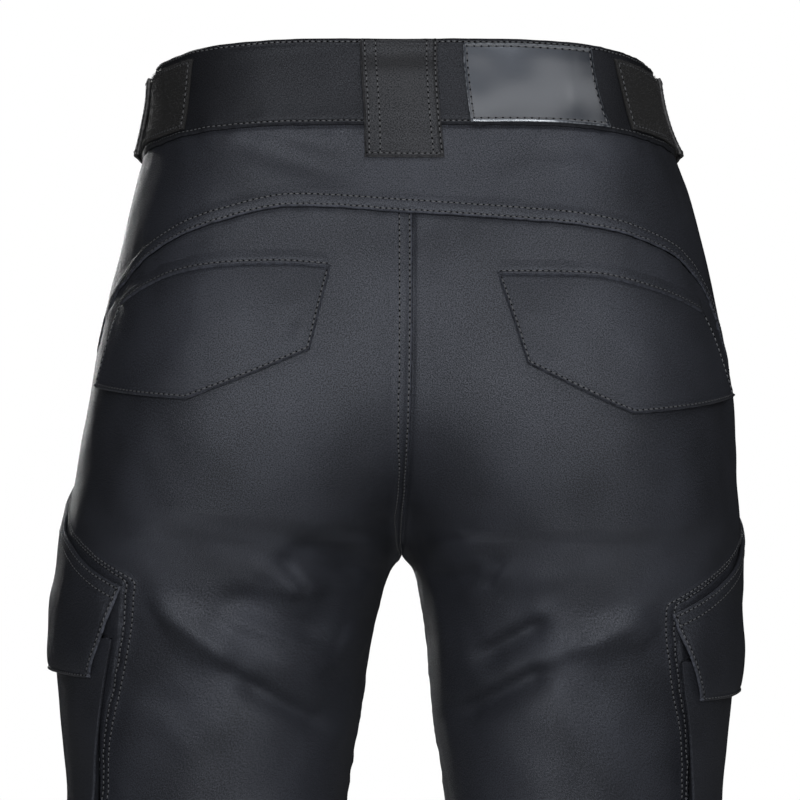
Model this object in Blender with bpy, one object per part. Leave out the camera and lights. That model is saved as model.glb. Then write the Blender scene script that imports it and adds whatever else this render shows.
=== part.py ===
"""Motorcycle trousers, in the hollow form they have when worn, with nobody in them.

The cloth is cut and sewn from panels: two back legs, two front legs, two side panels, a back yoke and a
waistband, with pocket flaps, bellows pouches, belt loops, side adjusters, a fly and a leather patch on top.
Every panel is a flat slab of cells that is bent onto one form. A place on the form is a share of the half
girth (0 at the centre back or the inseam, past the side at about 0.5, to 1 at the centre front or the
inseam, and below 0 on the left half) and a depth, measured down the side seam from the top of the waist.

Metres, +Z up. The back faces -Y and +X is the wearer's right. The origin is the centre of the waist
opening.
"""

import math

import bmesh
import bpy
import numpy as np
from mathutils import Matrix, Vector

# Driving dimensions
HEM_DEPTH = 1.070
CROTCH_DEPTH = 0.277
BACK_RISE = 0.014
FRONT_DROP = 0.018
WALL = 0.002
BAND_WALL = 0.003
BAND_PROUD = 0.001
BAND_HEIGHT = 0.051
SEAM_GAP = 0.0003
SEAT_GAP = 0.0007
FACET_ROOM = 0.0003

# The side seam, and the side panel that carries the cargo pocket below it
SIDE_SHARE = 0.53
FINE_END = 0.470

# Depths of the side panel's peak and of its two corners on each side, and its edges below: depth, share
PANEL_TOP = {-1: (0.240, 0.298), 1: (0.258, 0.312)}
PANEL_REAR = ((0.29, 0.322), (0.35, 0.352), (0.40, 0.385), (0.45, 0.400), (1.07, 0.410))
PANEL_FRONT = ((0.29, 0.675), (0.35, 0.675), (0.45, 0.690), (1.07, 0.690))

# Horizontal sections of one half: widths and depths as a tape and a calliper would give them.
# seam_back and seam_front are where the centre seams lie, and end where the legs part.
SECTION_COLUMNS = ("height", "half_width", "gap", "back", "front", "seam_back", "seam_front", "mid", "square")
SECTIONS = (
    (0.030, 0.1450, None, 0.1050, 0.1020, 0.1040, 0.1010, 0.000, 2.30),
    (0.000, 0.1470, None, 0.1090, 0.1040, 0.1080, 0.1030, 0.000, 2.30),
    (-0.030, 0.1520, None, 0.1150, 0.1070, 0.1140, 0.1060, 0.000, 2.30),
    (-0.056, 0.1610, None, 0.1220, 0.1100, 0.1205, 0.1090, 0.000, 2.30),
    (-0.092, 0.1710, None, 0.1330, 0.1140, 0.1300, 0.1120, 0.000, 2.30),
    (-0.140, 0.1820, None, 0.1450, 0.1180, 0.1400, 0.1140, 0.000, 2.28),
    (-0.188, 0.1910, None, 0.1500, 0.1190, 0.1400, 0.1090, 0.000, 2.25),
    (-0.216, 0.1950, None, 0.1470, 0.1175, 0.1280, 0.0980, 0.000, 2.22),
    (-0.240, 0.1975, None, 0.1420, 0.1150, 0.1030, 0.0790, 0.000, 2.20),
    (-0.260, 0.2000, None, 0.1360, 0.1120, 0.0700, 0.0540, 0.000, 2.20),
    (-0.277, 0.2020, 0.0000, 0.1300, 0.1085, 0.0000, 0.0000, 0.000, 2.18),
    (-0.300, 0.2020, 0.0100, 0.1220, 0.1040, None, None, 0.000, 2.15),
    (-0.330, 0.1970, 0.0160, 0.1130, 0.0990, None, None, 0.000, 2.12),
    (-0.370, 0.1915, 0.0205, 0.1040, 0.0950, None, None, 0.000, 2.10),
    (-0.430, 0.1845, 0.0295, 0.0940, 0.0900, None, None, 0.002, 2.10),
    (-0.550, 0.1790, 0.0430, 0.0800, 0.0840, None, None, 0.004, 2.10),
    (-0.660, 0.1800, 0.0500, 0.0740, 0.0850, None, None, 0.004, 2.10),
    (-0.780, 0.1860, 0.0540, 0.0790, 0.0760, None, None, -0.002, 2.10),
    (-0.920, 0.1930, 0.0590, 0.0770, 0.0720, None, None, -0.008, 2.10),
    (-1.070, 0.1990, 0.0620, 0.0750, 0.0730, None, None, -0.012, 2.10),
)

# How far the stance carries each height to the side: height, shift
STANCE = (
    (-0.50, -0.008),
    (-0.36, -0.006),
    (-0.28, -0.003),
    (-0.20, 0.002),
    (-0.10, 0.003),
    (0.00, -0.002),
)

# The largest folds, each a line on the face that is seen, with its half width and its height off the cloth.
# face is -1 for the back and 1 for the front; x and z are where each end lies.
FOLD_COLUMNS = ("face", "x0", "z0", "x1", "z1", "spread", "height")
FOLDS = (
    (-1, -0.070, -0.279, -0.014, -0.291, 0.0085, -0.0042),
    (-1, -0.072, -0.288, -0.042, -0.312, 0.0095, 0.0030),
    (-1, -0.112, -0.308, -0.034, -0.332, 0.0090, -0.0030),
    (-1, -0.150, -0.305, -0.090, -0.350, 0.0100, 0.0038),
    (-1, -0.095, -0.352, -0.028, -0.386, 0.0095, -0.0042),
    (-1, -0.110, -0.318, -0.030, -0.360, 0.0100, 0.0032),
    (-1, 0.088, -0.318, 0.040, -0.350, 0.0090, -0.0038),
    (-1, 0.150, -0.318, 0.098, -0.342, 0.0100, 0.0034),
    (-1, 0.092, -0.345, 0.026, -0.384, 0.0095, -0.0040),
    (-1, 0.058, -0.283, 0.052, -0.306, 0.0090, 0.0028),
    (-1, -0.145, -0.600, -0.062, -0.622, 0.0130, -0.0050),
    (-1, -0.150, -0.648, -0.070, -0.640, 0.0140, -0.0055),
    (-1, 0.062, -0.604, 0.145, -0.626, 0.0130, -0.0050),
    (-1, 0.070, -0.652, 0.150, -0.644, 0.0140, -0.0055),
    (-1, -0.160, -0.960, -0.080, -0.985, 0.0160, -0.0045),
    (-1, 0.080, -0.975, 0.165, -0.950, 0.0160, -0.0045),
    (1, -0.130, -0.235, -0.030, -0.272, 0.0120, -0.0045),
    (1, 0.030, -0.268, 0.125, -0.240, 0.0120, -0.0045),
    (1, -0.140, -0.300, -0.040, -0.325, 0.0130, -0.0040),
    (1, 0.042, -0.328, 0.140, -0.305, 0.0130, -0.0040),
    (1, -0.150, -0.540, -0.080, -0.560, 0.0150, 0.0045),
    (1, 0.080, -0.562, 0.150, -0.542, 0.0150, 0.0045),
    (1, -0.165, -0.990, -0.085, -0.965, 0.0160, -0.0050),
    (1, 0.085, -0.970, 0.165, -0.995, 0.0160, -0.0050),
)

# Lattice of the form
SHARES = 96
TORSO_ROWS = 44
LEG_ROWS = 80
GIRTH_BLEND = 61
RELAX_PASSES = 60
RELAX_REACH = 0.085

# Cells of the panels
BACK_CELLS = 12
FRONT_CELLS = 10
YOKE_ROWS = 3
BAND_ROWS = 2
SEAT_ROWS = 6
BELLY_ROWS = 6
CORNER_ROWS = 3
PEAK_ROWS = 4
THIGH_ROWS = 11
SHIN_ROWS = 12

# The yoke seam on each half: share, depth
YOKE_SEAM_LEFT = ((0.00, 0.100), (0.13, 0.097), (0.21, 0.103), (0.31, 0.118), (0.39, 0.139), (0.53, 0.180))
YOKE_SEAM_RIGHT = ((0.00, 0.100), (0.12, 0.104), (0.24, 0.110), (0.35, 0.129), (0.42, 0.160), (0.53, 0.198))

# The back pocket flaps as seen from behind: x, z along the sewn top, then along the free lower edge
FLAP_LEFT = (
    ((-0.043, -0.118), (-0.080, -0.116), (-0.133, -0.1215), (-0.167, -0.139)),
    ((-0.0555, -0.166), (-0.1235, -0.1935), (-0.176, -0.1875)),
)
FLAP_RIGHT = (
    ((0.0505, -0.122), (0.094, -0.1225), (0.131, -0.128), (0.172, -0.1435)),
    ((0.068, -0.1735), (0.1265, -0.2015), (0.185, -0.193)),
)
FLAP_WALL = 0.0018
FLAP_STAND = 0.0022

# Waist pieces. PATCH, TAPE, TAB, FLY and CLOSING_TAB give two shares and two depths, the piece's four edges.
# Loops give where their middle lies along the cloth from the centre back or the centre front.
LOOP_OFFSET = -0.003
LOOP_WIDTH = 0.046
LOOP_FOOT = 0.071
FRONT_LOOP_OFFSET = 0.062
FRONT_LOOP_WIDTH = 0.020
FRONT_LOOP_FOOT = 0.066
LOOP_STAND = 0.0084
PATCH = (0.079, 0.2485, 0.003, 0.0505)
PATCH_WALL = 0.0016
TAPE = (0.288, 0.555, 0.006, 0.048)
TAPE_WALL = 0.0014
TAB = (0.492, 0.745, 0.002, 0.0485)
TAB_STAND = 0.0068

# Closing: the fly on the left front, the waist tab that crosses the centre and the snap on it
FLY = (0.908, 1.012, 0.0525, 0.172)
FLY_WALL = 0.0014
CLOSING_TAB = (0.925, 1.075, 0.004, 0.047)
SNAP_RADIUS = 0.0075
SNAP_HEIGHT = 0.003

# The cargo pocket on each side panel. Depths are the left side's and sit lower by POCKET_DROP on the right.
POCKET_DROP = {-1: 0.0, 1: 0.014}
CARGO_FLAP_REAR = (0.340, 0.372)
CARGO_FLAP_FRONT = (0.662, 0.640)
CARGO_FLAP_FOOT = 0.357
CARGO_FLAP_UNDER = (
    (0.262, 0.0006),
    (0.285, 0.0015),
    (0.300, 0.0030),
    (0.312, 0.0065),
    (0.330, 0.0105),
    (0.345, 0.0122),
    (0.360, 0.0112),
)
POUCH_TOP = 0.330
POUCH_FOOT = 0.525
POUCH_REAR = ((0.33, 0.352), (0.38, 0.368), (0.43, 0.383), (0.53, 0.388))
POUCH_FRONT = ((0.33, 0.648), (0.53, 0.660))
GUSSET_LEAN = 0.018
GUSSET_FOOT_LEAN = 0.006
POUCH_UNDER = ((0.330, 0.0063), (0.345, 0.0072), (0.36, 0.0080), (0.43, 0.0100), (0.47, 0.0120), (0.53, 0.0120))


def curve(points, at):
    """Smooth values through the points of a two-column table, with no overshoot."""
    xs, ys = np.array(sorted(points), float).T
    steps = np.diff(xs)
    slopes = np.diff(ys) / steps
    tangents = np.concatenate([slopes[:1], (slopes[:-1] + slopes[1:]) / 2, slopes[-1:]])
    tangents[1:-1][slopes[:-1] * slopes[1:] <= 0] = 0
    limits = 3 * np.minimum(abs(slopes[:-1]), abs(slopes[1:]))
    tangents[1:-1] = np.clip(tangents[1:-1], -limits, limits)
    at = np.clip(at, xs[0], xs[-1])
    i = np.clip(np.searchsorted(xs, at) - 1, 0, len(steps) - 1)
    t = (at - xs[i]) / steps[i]
    rise = t * t * (3 - 2 * t)
    lead = t * (1 - t) ** 2 * steps[i] * tangents[i]
    tail = t * t * (t - 1) * steps[i] * tangents[i + 1]
    return ys[i] * (1 - rise) + ys[i + 1] * rise + lead + tail


def section_table(name):
    k = SECTION_COLUMNS.index(name)
    return [(row[0], row[k]) for row in SECTIONS if row[k] is not None]


TABLES = {name: section_table(name) for name in SECTION_COLUMNS[1:]}


def smoothstep(t):
    t = np.clip(t, 0.0, 1.0)
    return t * t * (3 - 2 * t)


def half_section(z):
    """Points of one half at a height, from the centre back round the side to the front."""
    width, mid, square = (float(curve(TABLES[k], z)) for k in ("half_width", "mid", "square"))
    torso = z > -CROTCH_DEPTH
    centre = width / 2 if torso else (width + float(curve(TABLES["gap"], z))) / 2
    halves = []
    for side, depth_name, seam_name in ((-1, "back", "seam_back"), (1, "front", "seam_front")):
        depth = float(curve(TABLES[depth_name], z))
        inner = centre if torso else centre - float(curve(TABLES["gap"], z))
        start = 0.0
        if torso:
            ratio = float(curve(TABLES[seam_name], z)) / depth
            inner = centre / (1 - ratio**square) ** (1 / square)
            start = math.acos(min(1.0, centre / inner) ** (square / 2))
        rise = np.linspace(start, math.pi / 2, 200)
        fall = np.linspace(math.pi / 2, 0, 200)[1:]
        x = np.concatenate([
            centre - inner * np.cos(rise) ** (2 / square),
            centre + (width - centre) * abs(np.cos(fall)) ** (2 / square),
        ])
        y = mid + side * depth * np.concatenate([np.sin(rise), np.sin(fall)]) ** (2 / square)
        halves.append(np.stack([x, y], axis=1))
    return halves


def run_length(points):
    return np.concatenate([[0], np.cumsum(np.linalg.norm(np.diff(points, axis=0), axis=1))])


def share_sections(heights):
    """Points at even shares for each height. The extra girth round the crotch goes to the shares near it."""
    halves = [half_section(z) for z in heights]
    nearness = np.linspace(0, 1, SHARES // 2 + 1)
    found = []
    for k in (0, 1):
        lengths = np.array([run_length(pair[k])[-1] for pair in halves])
        window = np.hanning(GIRTH_BLEND)
        padded = np.pad(lengths, GIRTH_BLEND // 2, mode="edge")
        steady = np.convolve(padded, window / window.sum(), mode="same")[GIRTH_BLEND // 2 :][: len(lengths)]
        rows = []
        for pair, length, base in zip(halves, lengths, steady):
            from_side = base * nearness + (length - base) * nearness**4
            along = run_length(pair[k])
            rows.append([np.interp(length - from_side, along, pair[k][:, axis]) for axis in (0, 1)])
        found.append(np.array(rows).transpose(0, 2, 1))
    back, front = found
    return np.concatenate([back[:, ::-1], front[:, 1:]], axis=1)


def seam_heights(seam_name, top):
    """Heights on a centre seam for each torso row: level with the waist at first, then along the curve."""
    z = np.linspace(top, -CROTCH_DEPTH, 400)
    y = curve(TABLES[seam_name], z)
    along = np.concatenate([[0], np.cumsum(np.hypot(np.diff(z), np.diff(y)))])
    depth = np.linspace(0, CROTCH_DEPTH, TORSO_ROWS + 1)
    level = BAND_HEIGHT + 0.009
    extra = (along[-1] - CROTCH_DEPTH) * np.clip((depth - level) / (CROTCH_DEPTH - level), 0, 1) ** 2
    return np.interp(depth + extra, along, z)


def ghosts(grid):
    """The grid with a border of neighbours: mirrored up the centre seams, and wrapped round each leg."""
    wide = np.pad(grid, ((0, 0), (1, 1), (0, 0)))
    mirror = np.array([-1, 1, 1])
    wide[:TORSO_ROWS, 0] = grid[:TORSO_ROWS, 1] * mirror
    wide[:TORSO_ROWS, -1] = grid[:TORSO_ROWS, -2] * mirror
    wide[TORSO_ROWS:, 0] = grid[TORSO_ROWS:, -2]
    wide[TORSO_ROWS:, -1] = grid[TORSO_ROWS:, 1]
    return wide


def arch(grid):
    """Lets the cloth span the crotch as a low arch, as it does under tension."""
    away = np.linalg.norm((grid - grid[TORSO_ROWS, 0]) * (1.6, 1.0, 1.0), axis=2)
    weight = 0.5 * np.clip(1 - away / RELAX_REACH, 0, 1)[..., None]
    for _ in range(RELAX_PASSES):
        wide = ghosts(grid)
        up = np.concatenate([grid[:1], grid[:-1]])
        down = np.concatenate([grid[1:], grid[-1:]])
        mean = (wide[:, :-2] + wide[:, 2:] + up + down) / 4
        above = (grid[TORSO_ROWS - 1, 0] + grid[TORSO_ROWS - 1, -1]) / 4
        mean[TORSO_ROWS, [0, -1]] = above + grid[TORSO_ROWS + 1, 0] / 2
        grid = grid + weight * (mean - grid)
        grid[: TORSO_ROWS + 1, [0, -1], 0] = 0
        grid[TORSO_ROWS + 1 :, -1] = grid[TORSO_ROWS + 1 :, 0]
    return grid


def lattice_normals(grid):
    wide = ghosts(grid)
    across = wide[:, 2:] - wide[:, :-2]
    down = np.gradient(grid, axis=0)
    normals = np.cross(down, across)
    normals /= np.linalg.norm(normals, axis=2, keepdims=True)
    seams = normals[: TORSO_ROWS + 1, [0, -1]]
    seams[..., 0] = 0
    normals[: TORSO_ROWS + 1, [0, -1]] = seams / np.linalg.norm(seams, axis=2, keepdims=True)
    normals[TORSO_ROWS, [0, -1]] = (0, 0, -1)
    return normals


def fold_heights(points, normals, side):
    """How far the folds push each point of one half out or in."""
    x = points[..., 0] * side
    z = points[..., 2]
    total = np.zeros(x.shape)
    for row in FOLDS:
        fold = dict(zip(FOLD_COLUMNS, row))
        run = np.array([fold["x1"] - fold["x0"], fold["z1"] - fold["z0"]])
        length = np.linalg.norm(run)
        run /= length
        from_start = x - fold["x0"], z - fold["z0"]
        along = from_start[0] * run[0] + from_start[1] * run[1]
        off = (from_start[0] * run[1] - from_start[1] * run[0]) / fold["spread"]
        fade = 2 * fold["spread"]
        ends = smoothstep(along / fade) * smoothstep((length - along) / fade)
        facing = smoothstep(fold["face"] * normals[..., 1] / 0.4)
        total += fold["height"] * np.exp(-(off**2)) * ends * facing
    return total


def make_form():
    """The lattice of points and normals for each half, folds and stance included."""
    heights = np.linspace(BACK_RISE + 0.01, -HEM_DEPTH, 460)
    sections = share_sections(heights)
    back = seam_heights("seam_back", BACK_RISE)
    front = seam_heights("seam_front", -FRONT_DROP)
    shares = np.linspace(0, 1, SHARES + 1)
    near_back = 1 - smoothstep((shares - 0.12) / 0.43)
    near_front = 1 - smoothstep((0.88 - shares) / 0.43)
    torso = -np.linspace(0, CROTCH_DEPTH, TORSO_ROWS + 1)[:, None]
    legs = -np.linspace(CROTCH_DEPTH, HEM_DEPTH, LEG_ROWS + 1)[1:, None]
    z = torso + (back[:, None] - torso) * near_back + (front[:, None] - torso) * near_front
    z = np.concatenate([z, np.broadcast_to(legs, (LEG_ROWS, SHARES + 1))])
    grid = np.zeros(z.shape + (3,))
    grid[..., 2] = z
    for c in range(SHARES + 1):
        for k in (0, 1):
            grid[:, c, k] = np.interp(-z[:, c], -heights, sections[:, c, k])
    grid[: TORSO_ROWS + 1, [0, -1], 0] = 0
    grid = arch(grid)
    normals = lattice_normals(grid)
    halves = {}
    for side in (-1, 1):
        half = grid + fold_heights(grid, normals, side)[..., None] * normals
        halves[side] = (half, lattice_normals(half))
    return halves


FORM = make_form()


def spot(share, depth):
    """The point and the outward normal of the form at arrays of shares and depths."""
    share, depth = np.broadcast_arrays(np.asarray(share, float), np.asarray(depth, float))
    past_front = abs(share) > 1
    right = ~np.signbit(share) ^ past_front
    share = np.where(past_front, 2 - abs(share), abs(share))
    above = depth / CROTCH_DEPTH * TORSO_ROWS
    below = TORSO_ROWS + (depth - CROTCH_DEPTH) / (HEM_DEPTH - CROTCH_DEPTH) * LEG_ROWS
    row = np.where(depth < CROTCH_DEPTH, above, below).clip(0, TORSO_ROWS + LEG_ROWS - 1e-9)
    column = (share * SHARES).clip(0, SHARES - 1e-9)
    r, c = row.astype(int), column.astype(int)
    dr, dc = (row - r)[..., None], (column - c)[..., None]
    found = []
    for values in zip(FORM[-1], FORM[1]):
        left, plain = (
            (v[r, c] * (1 - dr) + v[r + 1, c] * dr) * (1 - dc)
            + (v[r, c + 1] * (1 - dr) + v[r + 1, c + 1] * dr) * dc
            for v in values
        )
        found.append(np.where(right[..., None], plain, left * (-1, 1, 1)))
    points, normals = found
    points = points.copy()
    points[..., 0] += curve(STANCE, points[..., 2])
    return points, normals / np.linalg.norm(normals, axis=-1, keepdims=True)


def seen(face, x, z):
    """The share and depth of the place on one half that is seen at x and z from behind or from the front."""
    side = 1 if x >= 0 else -1
    depths = np.linspace(0, HEM_DEPTH, 400)
    shares = np.linspace(0, 0.5, 200) if face < 0 else np.linspace(0.5, 1, 200)
    share, depth = 0.3 if face < 0 else 0.7, -z
    for _ in range(12):
        column, _ = spot(side * share, depths)
        depth = float(np.interp(-z, -column[:, 2], depths))
        row, _ = spot(side * shares, depth)
        order = np.argsort(side * row[:, 0])
        share = float(np.interp(side * x, side * row[order, 0], shares[order]))
    return side * share, depth


def mesh_object(name, bm, material):
    mesh = bpy.data.meshes.new(name)
    bm.to_mesh(mesh)
    bm.free()
    mesh.materials.append(material)
    mesh.shade_smooth()
    mesh.set_sharp_from_angle(angle=math.radians(40))
    thing = bpy.data.objects.new(name, mesh)
    COLLECTION.objects.link(thing)
    return thing


def slab(name, outer, inner, material):
    """A flat grid of cells, extruded to a closed slab, whose two faces are then bent to the given points."""
    rows, columns = outer.shape[0] - 1, outer.shape[1] - 1
    bm = bmesh.new()
    bmesh.ops.create_grid(bm, x_segments=columns, y_segments=rows, size=0.5)
    bmesh.ops.scale(bm, vec=(columns, rows, 1), verts=bm.verts)
    bmesh.ops.translate(bm, vec=(columns / 2, rows / 2, 0), verts=bm.verts)
    raised = bmesh.ops.extrude_face_region(bm, geom=list(bm.faces), use_keep_orig=True)["geom"]
    bmesh.ops.translate(bm, vec=(0, 0, 1), verts=[v for v in raised if isinstance(v, bmesh.types.BMVert)])
    for vert in bm.verts:
        c, r, k = (round(value) for value in vert.co)
        vert.co = (outer if k else inner)[r, c]
    bmesh.ops.triangulate(bm, faces=bm.faces, quad_method="SHORT_EDGE")
    bmesh.ops.recalc_face_normals(bm, faces=bm.faces)
    return mesh_object(name, bm, material)


def pull_back(points, amount):
    """How far each point on the border of a grid moves inwards, along the cloth, to leave the seam's gap."""
    shift = np.zeros(points.shape)
    for axis in (0, 1):
        for edge, beside in ((0, 1), (-1, -2)):
            border = points.take(edge, axis=axis)
            run = np.gradient(border, axis=0)
            run /= np.linalg.norm(run, axis=1, keepdims=True)
            inwards = points.take(beside, axis=axis) - border
            inwards -= (inwards * run).sum(axis=1, keepdims=True) * run
            inwards /= np.linalg.norm(inwards, axis=1, keepdims=True)
            place = (edge, slice(None)) if axis == 0 else (slice(None), edge)
            shift[place] += amount * inwards
    return shift


def panel(name, share, depth, material, wall=WALL, proud=0.0):
    """A sewn panel: its edges stop short of the seams, and its walls stand square to the form."""
    points, normals = spot(share, depth)
    shift = pull_back(points, SEAM_GAP / 2)
    return slab(name, points + proud * normals + shift, points + (proud - wall) * normals + shift, material)


def grid_normals(points):
    normals = np.cross(np.gradient(points, axis=0), np.gradient(points, axis=1))
    return normals / np.linalg.norm(normals, axis=2, keepdims=True)


def overlay(name, share, depth, lift, material, wall=WALL):
    """A piece sewn on top: lift is how far its underside stands off the form at each point of its grid."""
    points, normals = spot(share, depth)
    under = points + lift[..., None] * normals
    own = grid_normals(under)
    own *= np.sign((own * normals).sum())
    return slab(name, under + wall * own, under, material)


def between(start, end, steps):
    return np.linspace(start, end, steps + 1)


def crossing(start, end, steps):
    """Grid rows that run from one list of values to another."""
    return np.linspace(np.asarray(start, float), np.asarray(end, float), steps + 1)


def leg_depths(side):
    """Depths of the rows that the leg panels share, from the top of the side panel down to the hem."""
    peak, corner = PANEL_TOP[side]
    runs = (
        between(peak, corner, CORNER_ROWS),
        between(corner, FINE_END, THIGH_ROWS)[1:],
        between(FINE_END, HEM_DEPTH, SHIN_ROWS)[1:],
    )
    return np.concatenate(runs)


def side_edges(side, depth):
    """Shares of the two edges of the side panel: they part at its peak and run down from its corners."""
    peak, corner = PANEL_TOP[side]
    open_up = np.clip((depth - peak) / (corner - peak), 0, 1)
    rear, front = curve(PANEL_REAR, depth), curve(PANEL_FRONT, depth)
    return SIDE_SHARE + (rear - SIDE_SHARE) * open_up, SIDE_SHARE + (front - SIDE_SHARE) * open_up


def back_shares():
    return between(0, SIDE_SHARE, BACK_CELLS)


def back_leg(name, side, yoke_seam, material):
    seam = curve(yoke_seam, back_shares())
    top = seam[-1]
    peak = PANEL_TOP[side][0]
    depths = np.concatenate([between(top, peak, SEAT_ROWS)[:-1], leg_depths(side)])
    rear = side_edges(side, depths)[0]
    share = rear[:, None] * between(0, 1, BACK_CELLS)[None, :]
    fade = np.clip((peak - depths) / (peak - top), 0, 1)[:, None]
    return panel(name, side * share, depths[:, None] + (seam - top)[None, :] * fade, material)


def front_leg(name, side, material):
    peak = PANEL_TOP[side][0]
    depths = np.concatenate([between(BAND_HEIGHT, peak, BELLY_ROWS)[:-1], leg_depths(side)])
    edge = side_edges(side, depths)[1]
    share = edge[:, None] + (1 - edge[:, None]) * between(0, 1, FRONT_CELLS)[None, :]
    return panel(name, side * share, np.broadcast_to(depths[:, None], share.shape), material)


def side_panel(name, side, material):
    """Its top row climbs from one corner to the peak and down to the other, along the rows of both legs."""
    depths = leg_depths(side)
    climb = depths[: CORNER_ROWS + 1]
    rear, front = side_edges(side, climb)
    top_share = np.concatenate([rear[::-1], front[1:]])
    top_depth = np.concatenate([climb[::-1], climb[1:]])
    straight = depths[CORNER_ROWS + 1 :]
    rear, front = side_edges(side, straight)
    rows = rear[:, None] + (front - rear)[:, None] * between(0, 1, 2 * CORNER_ROWS)[None, :]
    share = np.concatenate([crossing(top_share, rows[0], PEAK_ROWS), rows[1:]])
    level = np.broadcast_to(straight[:, None], rows.shape)
    depth = np.concatenate([crossing(top_depth, level[0], PEAK_ROWS), level[1:]])
    return panel(name, side * share, depth, material)


def yoke(material):
    right = back_shares()
    share = np.concatenate([-right[::-1], right[1:]])
    seam = np.concatenate([curve(YOKE_SEAM_LEFT, right)[::-1], curve(YOKE_SEAM_RIGHT, right)[1:]])
    depth = crossing(np.full(share.shape, BAND_HEIGHT), seam, YOKE_ROWS)
    return panel("yoke", np.broadcast_to(share, depth.shape), depth, material)


def waistband(name, share, material):
    depth = np.broadcast_to(between(0, BAND_HEIGHT, BAND_ROWS)[:, None], (BAND_ROWS + 1, len(share)))
    return panel(name, np.broadcast_to(share, depth.shape), depth, material, wall=BAND_WALL, proud=BAND_PROUD)


def patchwork(share, depth, share_cells, depth_cells):
    """Grids of shares and depths over a rectangle of the waist, with a column over each of the waistband's."""
    columns = np.concatenate([back_shares(), between(SIDE_SHARE, 1, FRONT_CELLS)])
    low, high = sorted(share)
    beneath = [c * sign for c in columns for sign in (-1, 1) if low < c * sign < high]
    shares = np.unique(np.round(np.concatenate([between(*share, share_cells), beneath]), 6))
    spaced = shares[np.concatenate([[True], np.diff(shares) > 0.003])]
    spaced[-1] = high
    return np.meshgrid(spaced, between(*depth, depth_cells))


def back_flap(name, corners, material):
    """A five-sided flap: sewn along the top, with a point in its lower edge that stands just off the seat."""
    rows = [np.array([seen(-1, x, z) for x, z in line]) for line in corners]
    apex = 0.6
    across = np.concatenate([between(0, apex, 5), between(apex, 1, 3)[1:]])
    edges = []
    for row, stations in zip(rows, ((0, 0.28, 0.68, 1), (0, apex, 1))):
        edges.append([np.interp(across, stations, row[:, k]) for k in (0, 1)])
    share, depth = (crossing(edges[0][k], edges[1][k], 5) for k in (0, 1))
    down = np.broadcast_to(between(0, 1, 5)[:, None], share.shape)
    lift = SEAT_GAP + FACET_ROOM + FLAP_STAND * down**2
    return overlay(name, share, depth, lift, material, wall=FLAP_WALL)


def half_girth(depth):
    """Length of cloth from the centre back round to the centre front at a depth."""
    points, _ = spot(between(0, 1, SHARES), np.full(SHARES + 1, depth))
    return float(run_length(points)[-1])


def belt_loop(name, side, from_front, offset, width, foot, material):
    """A strap sewn down at both ends, that stands off between them so that a belt passes through.

    The offset of its middle is measured along the cloth, from the centre back or from the centre front.
    """
    rows = between(0.0012, foot, 11)
    reach = offset + width * np.array([-0.5, 0.0, 0.5])
    share = np.array([reach / half_girth(depth) for depth in rows])
    if from_front:
        share = side * (1 - share)
    depth = np.broadcast_to(rows[:, None], share.shape)
    on_band = BAND_PROUD + SEAT_GAP
    stations = (
        (0.00, on_band),
        (0.12, on_band),
        (0.32, LOOP_STAND),
        (0.64, LOOP_STAND),
        (0.90, SEAT_GAP),
        (1.00, SEAT_GAP),
    )
    return overlay(name, share, depth, curve(stations, depth / foot), material)


def waist_piece(name, side, extent, material, wall, lift=0.0, cells=(12, 2)):
    start, end, top, foot = extent
    share, depth = patchwork((start, end), (top, foot), *cells)
    lift = BAND_PROUD + SEAT_GAP + lift * np.ones(share.shape)
    return overlay(name, side * share, depth, lift, material, wall=wall)


def adjuster_tab(name, side, material):
    """The waist's hook tab: sewn at the front, laid over the loop tape, with a free end that stands off."""
    start, end, top, foot = TAB
    share, depth = patchwork((start, end), (top, foot), 12, 2)
    over_tape = BAND_PROUD + 2 * SEAT_GAP + TAPE_WALL + FACET_ROOM
    on_band = BAND_PROUD + SEAT_GAP + FACET_ROOM
    stations = (
        (start, BAND_PROUD + TAB_STAND),
        (start + 0.03, over_tape + 0.0018),
        (TAPE[1] - 0.01, over_tape),
        (TAPE[1] + 0.02, over_tape),
        (TAPE[1] + 0.07, on_band),
        (end, on_band),
    )
    return overlay(name, side * share, depth, curve(stations, share), material)


def fly(material):
    """The fly's facing on the left front, with its curved foot. It covers the centre seam."""
    start, end, top, foot = FLY
    rows = between(0, 1, 14)
    bow = np.sqrt(1 - np.clip((rows - 0.55) / 0.45, 0, 0.985) ** 2)
    left = end - (end - start) * bow
    share = left[:, None] + (end - left)[:, None] * between(0, 1, 4)[None, :]
    depth = np.broadcast_to((top + (foot - top) * rows)[:, None], share.shape)
    lift = np.full(share.shape, SEAT_GAP)
    return overlay("fly_facing", -share, depth, lift, material, wall=FLY_WALL)


def snap(material):
    """The press stud's cap: a low turned disc with a rounded rim, square to the waist tab."""
    start, end, top, foot = CLOSING_TAB
    centre, normal = spot(-0.975, (top + foot) / 2)
    outward = Vector(normal)
    seat = BAND_PROUD + SEAT_GAP + WALL + SEAT_GAP
    bm = bmesh.new()
    bmesh.ops.create_cone(
        bm, cap_ends=True, segments=24, radius1=SNAP_RADIUS, radius2=SNAP_RADIUS, depth=SNAP_HEIGHT
    )
    rim = [edge for edge in bm.edges if all(vert.co.z > 0 for vert in edge.verts) and len(edge.link_faces) == 2]
    bmesh.ops.bevel(
        bm, geom=rim, offset=SNAP_HEIGHT / 3, segments=2, profile=0.5, affect="EDGES", material=-1
    )
    turn = outward.to_track_quat("Z", "Y").to_matrix().to_4x4()
    place = Vector(centre) + outward * (seat + SNAP_HEIGHT / 2)
    bmesh.ops.transform(bm, matrix=Matrix.Translation(place) @ turn, verts=bm.verts)
    return mesh_object("waist_snap", bm, material)


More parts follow.
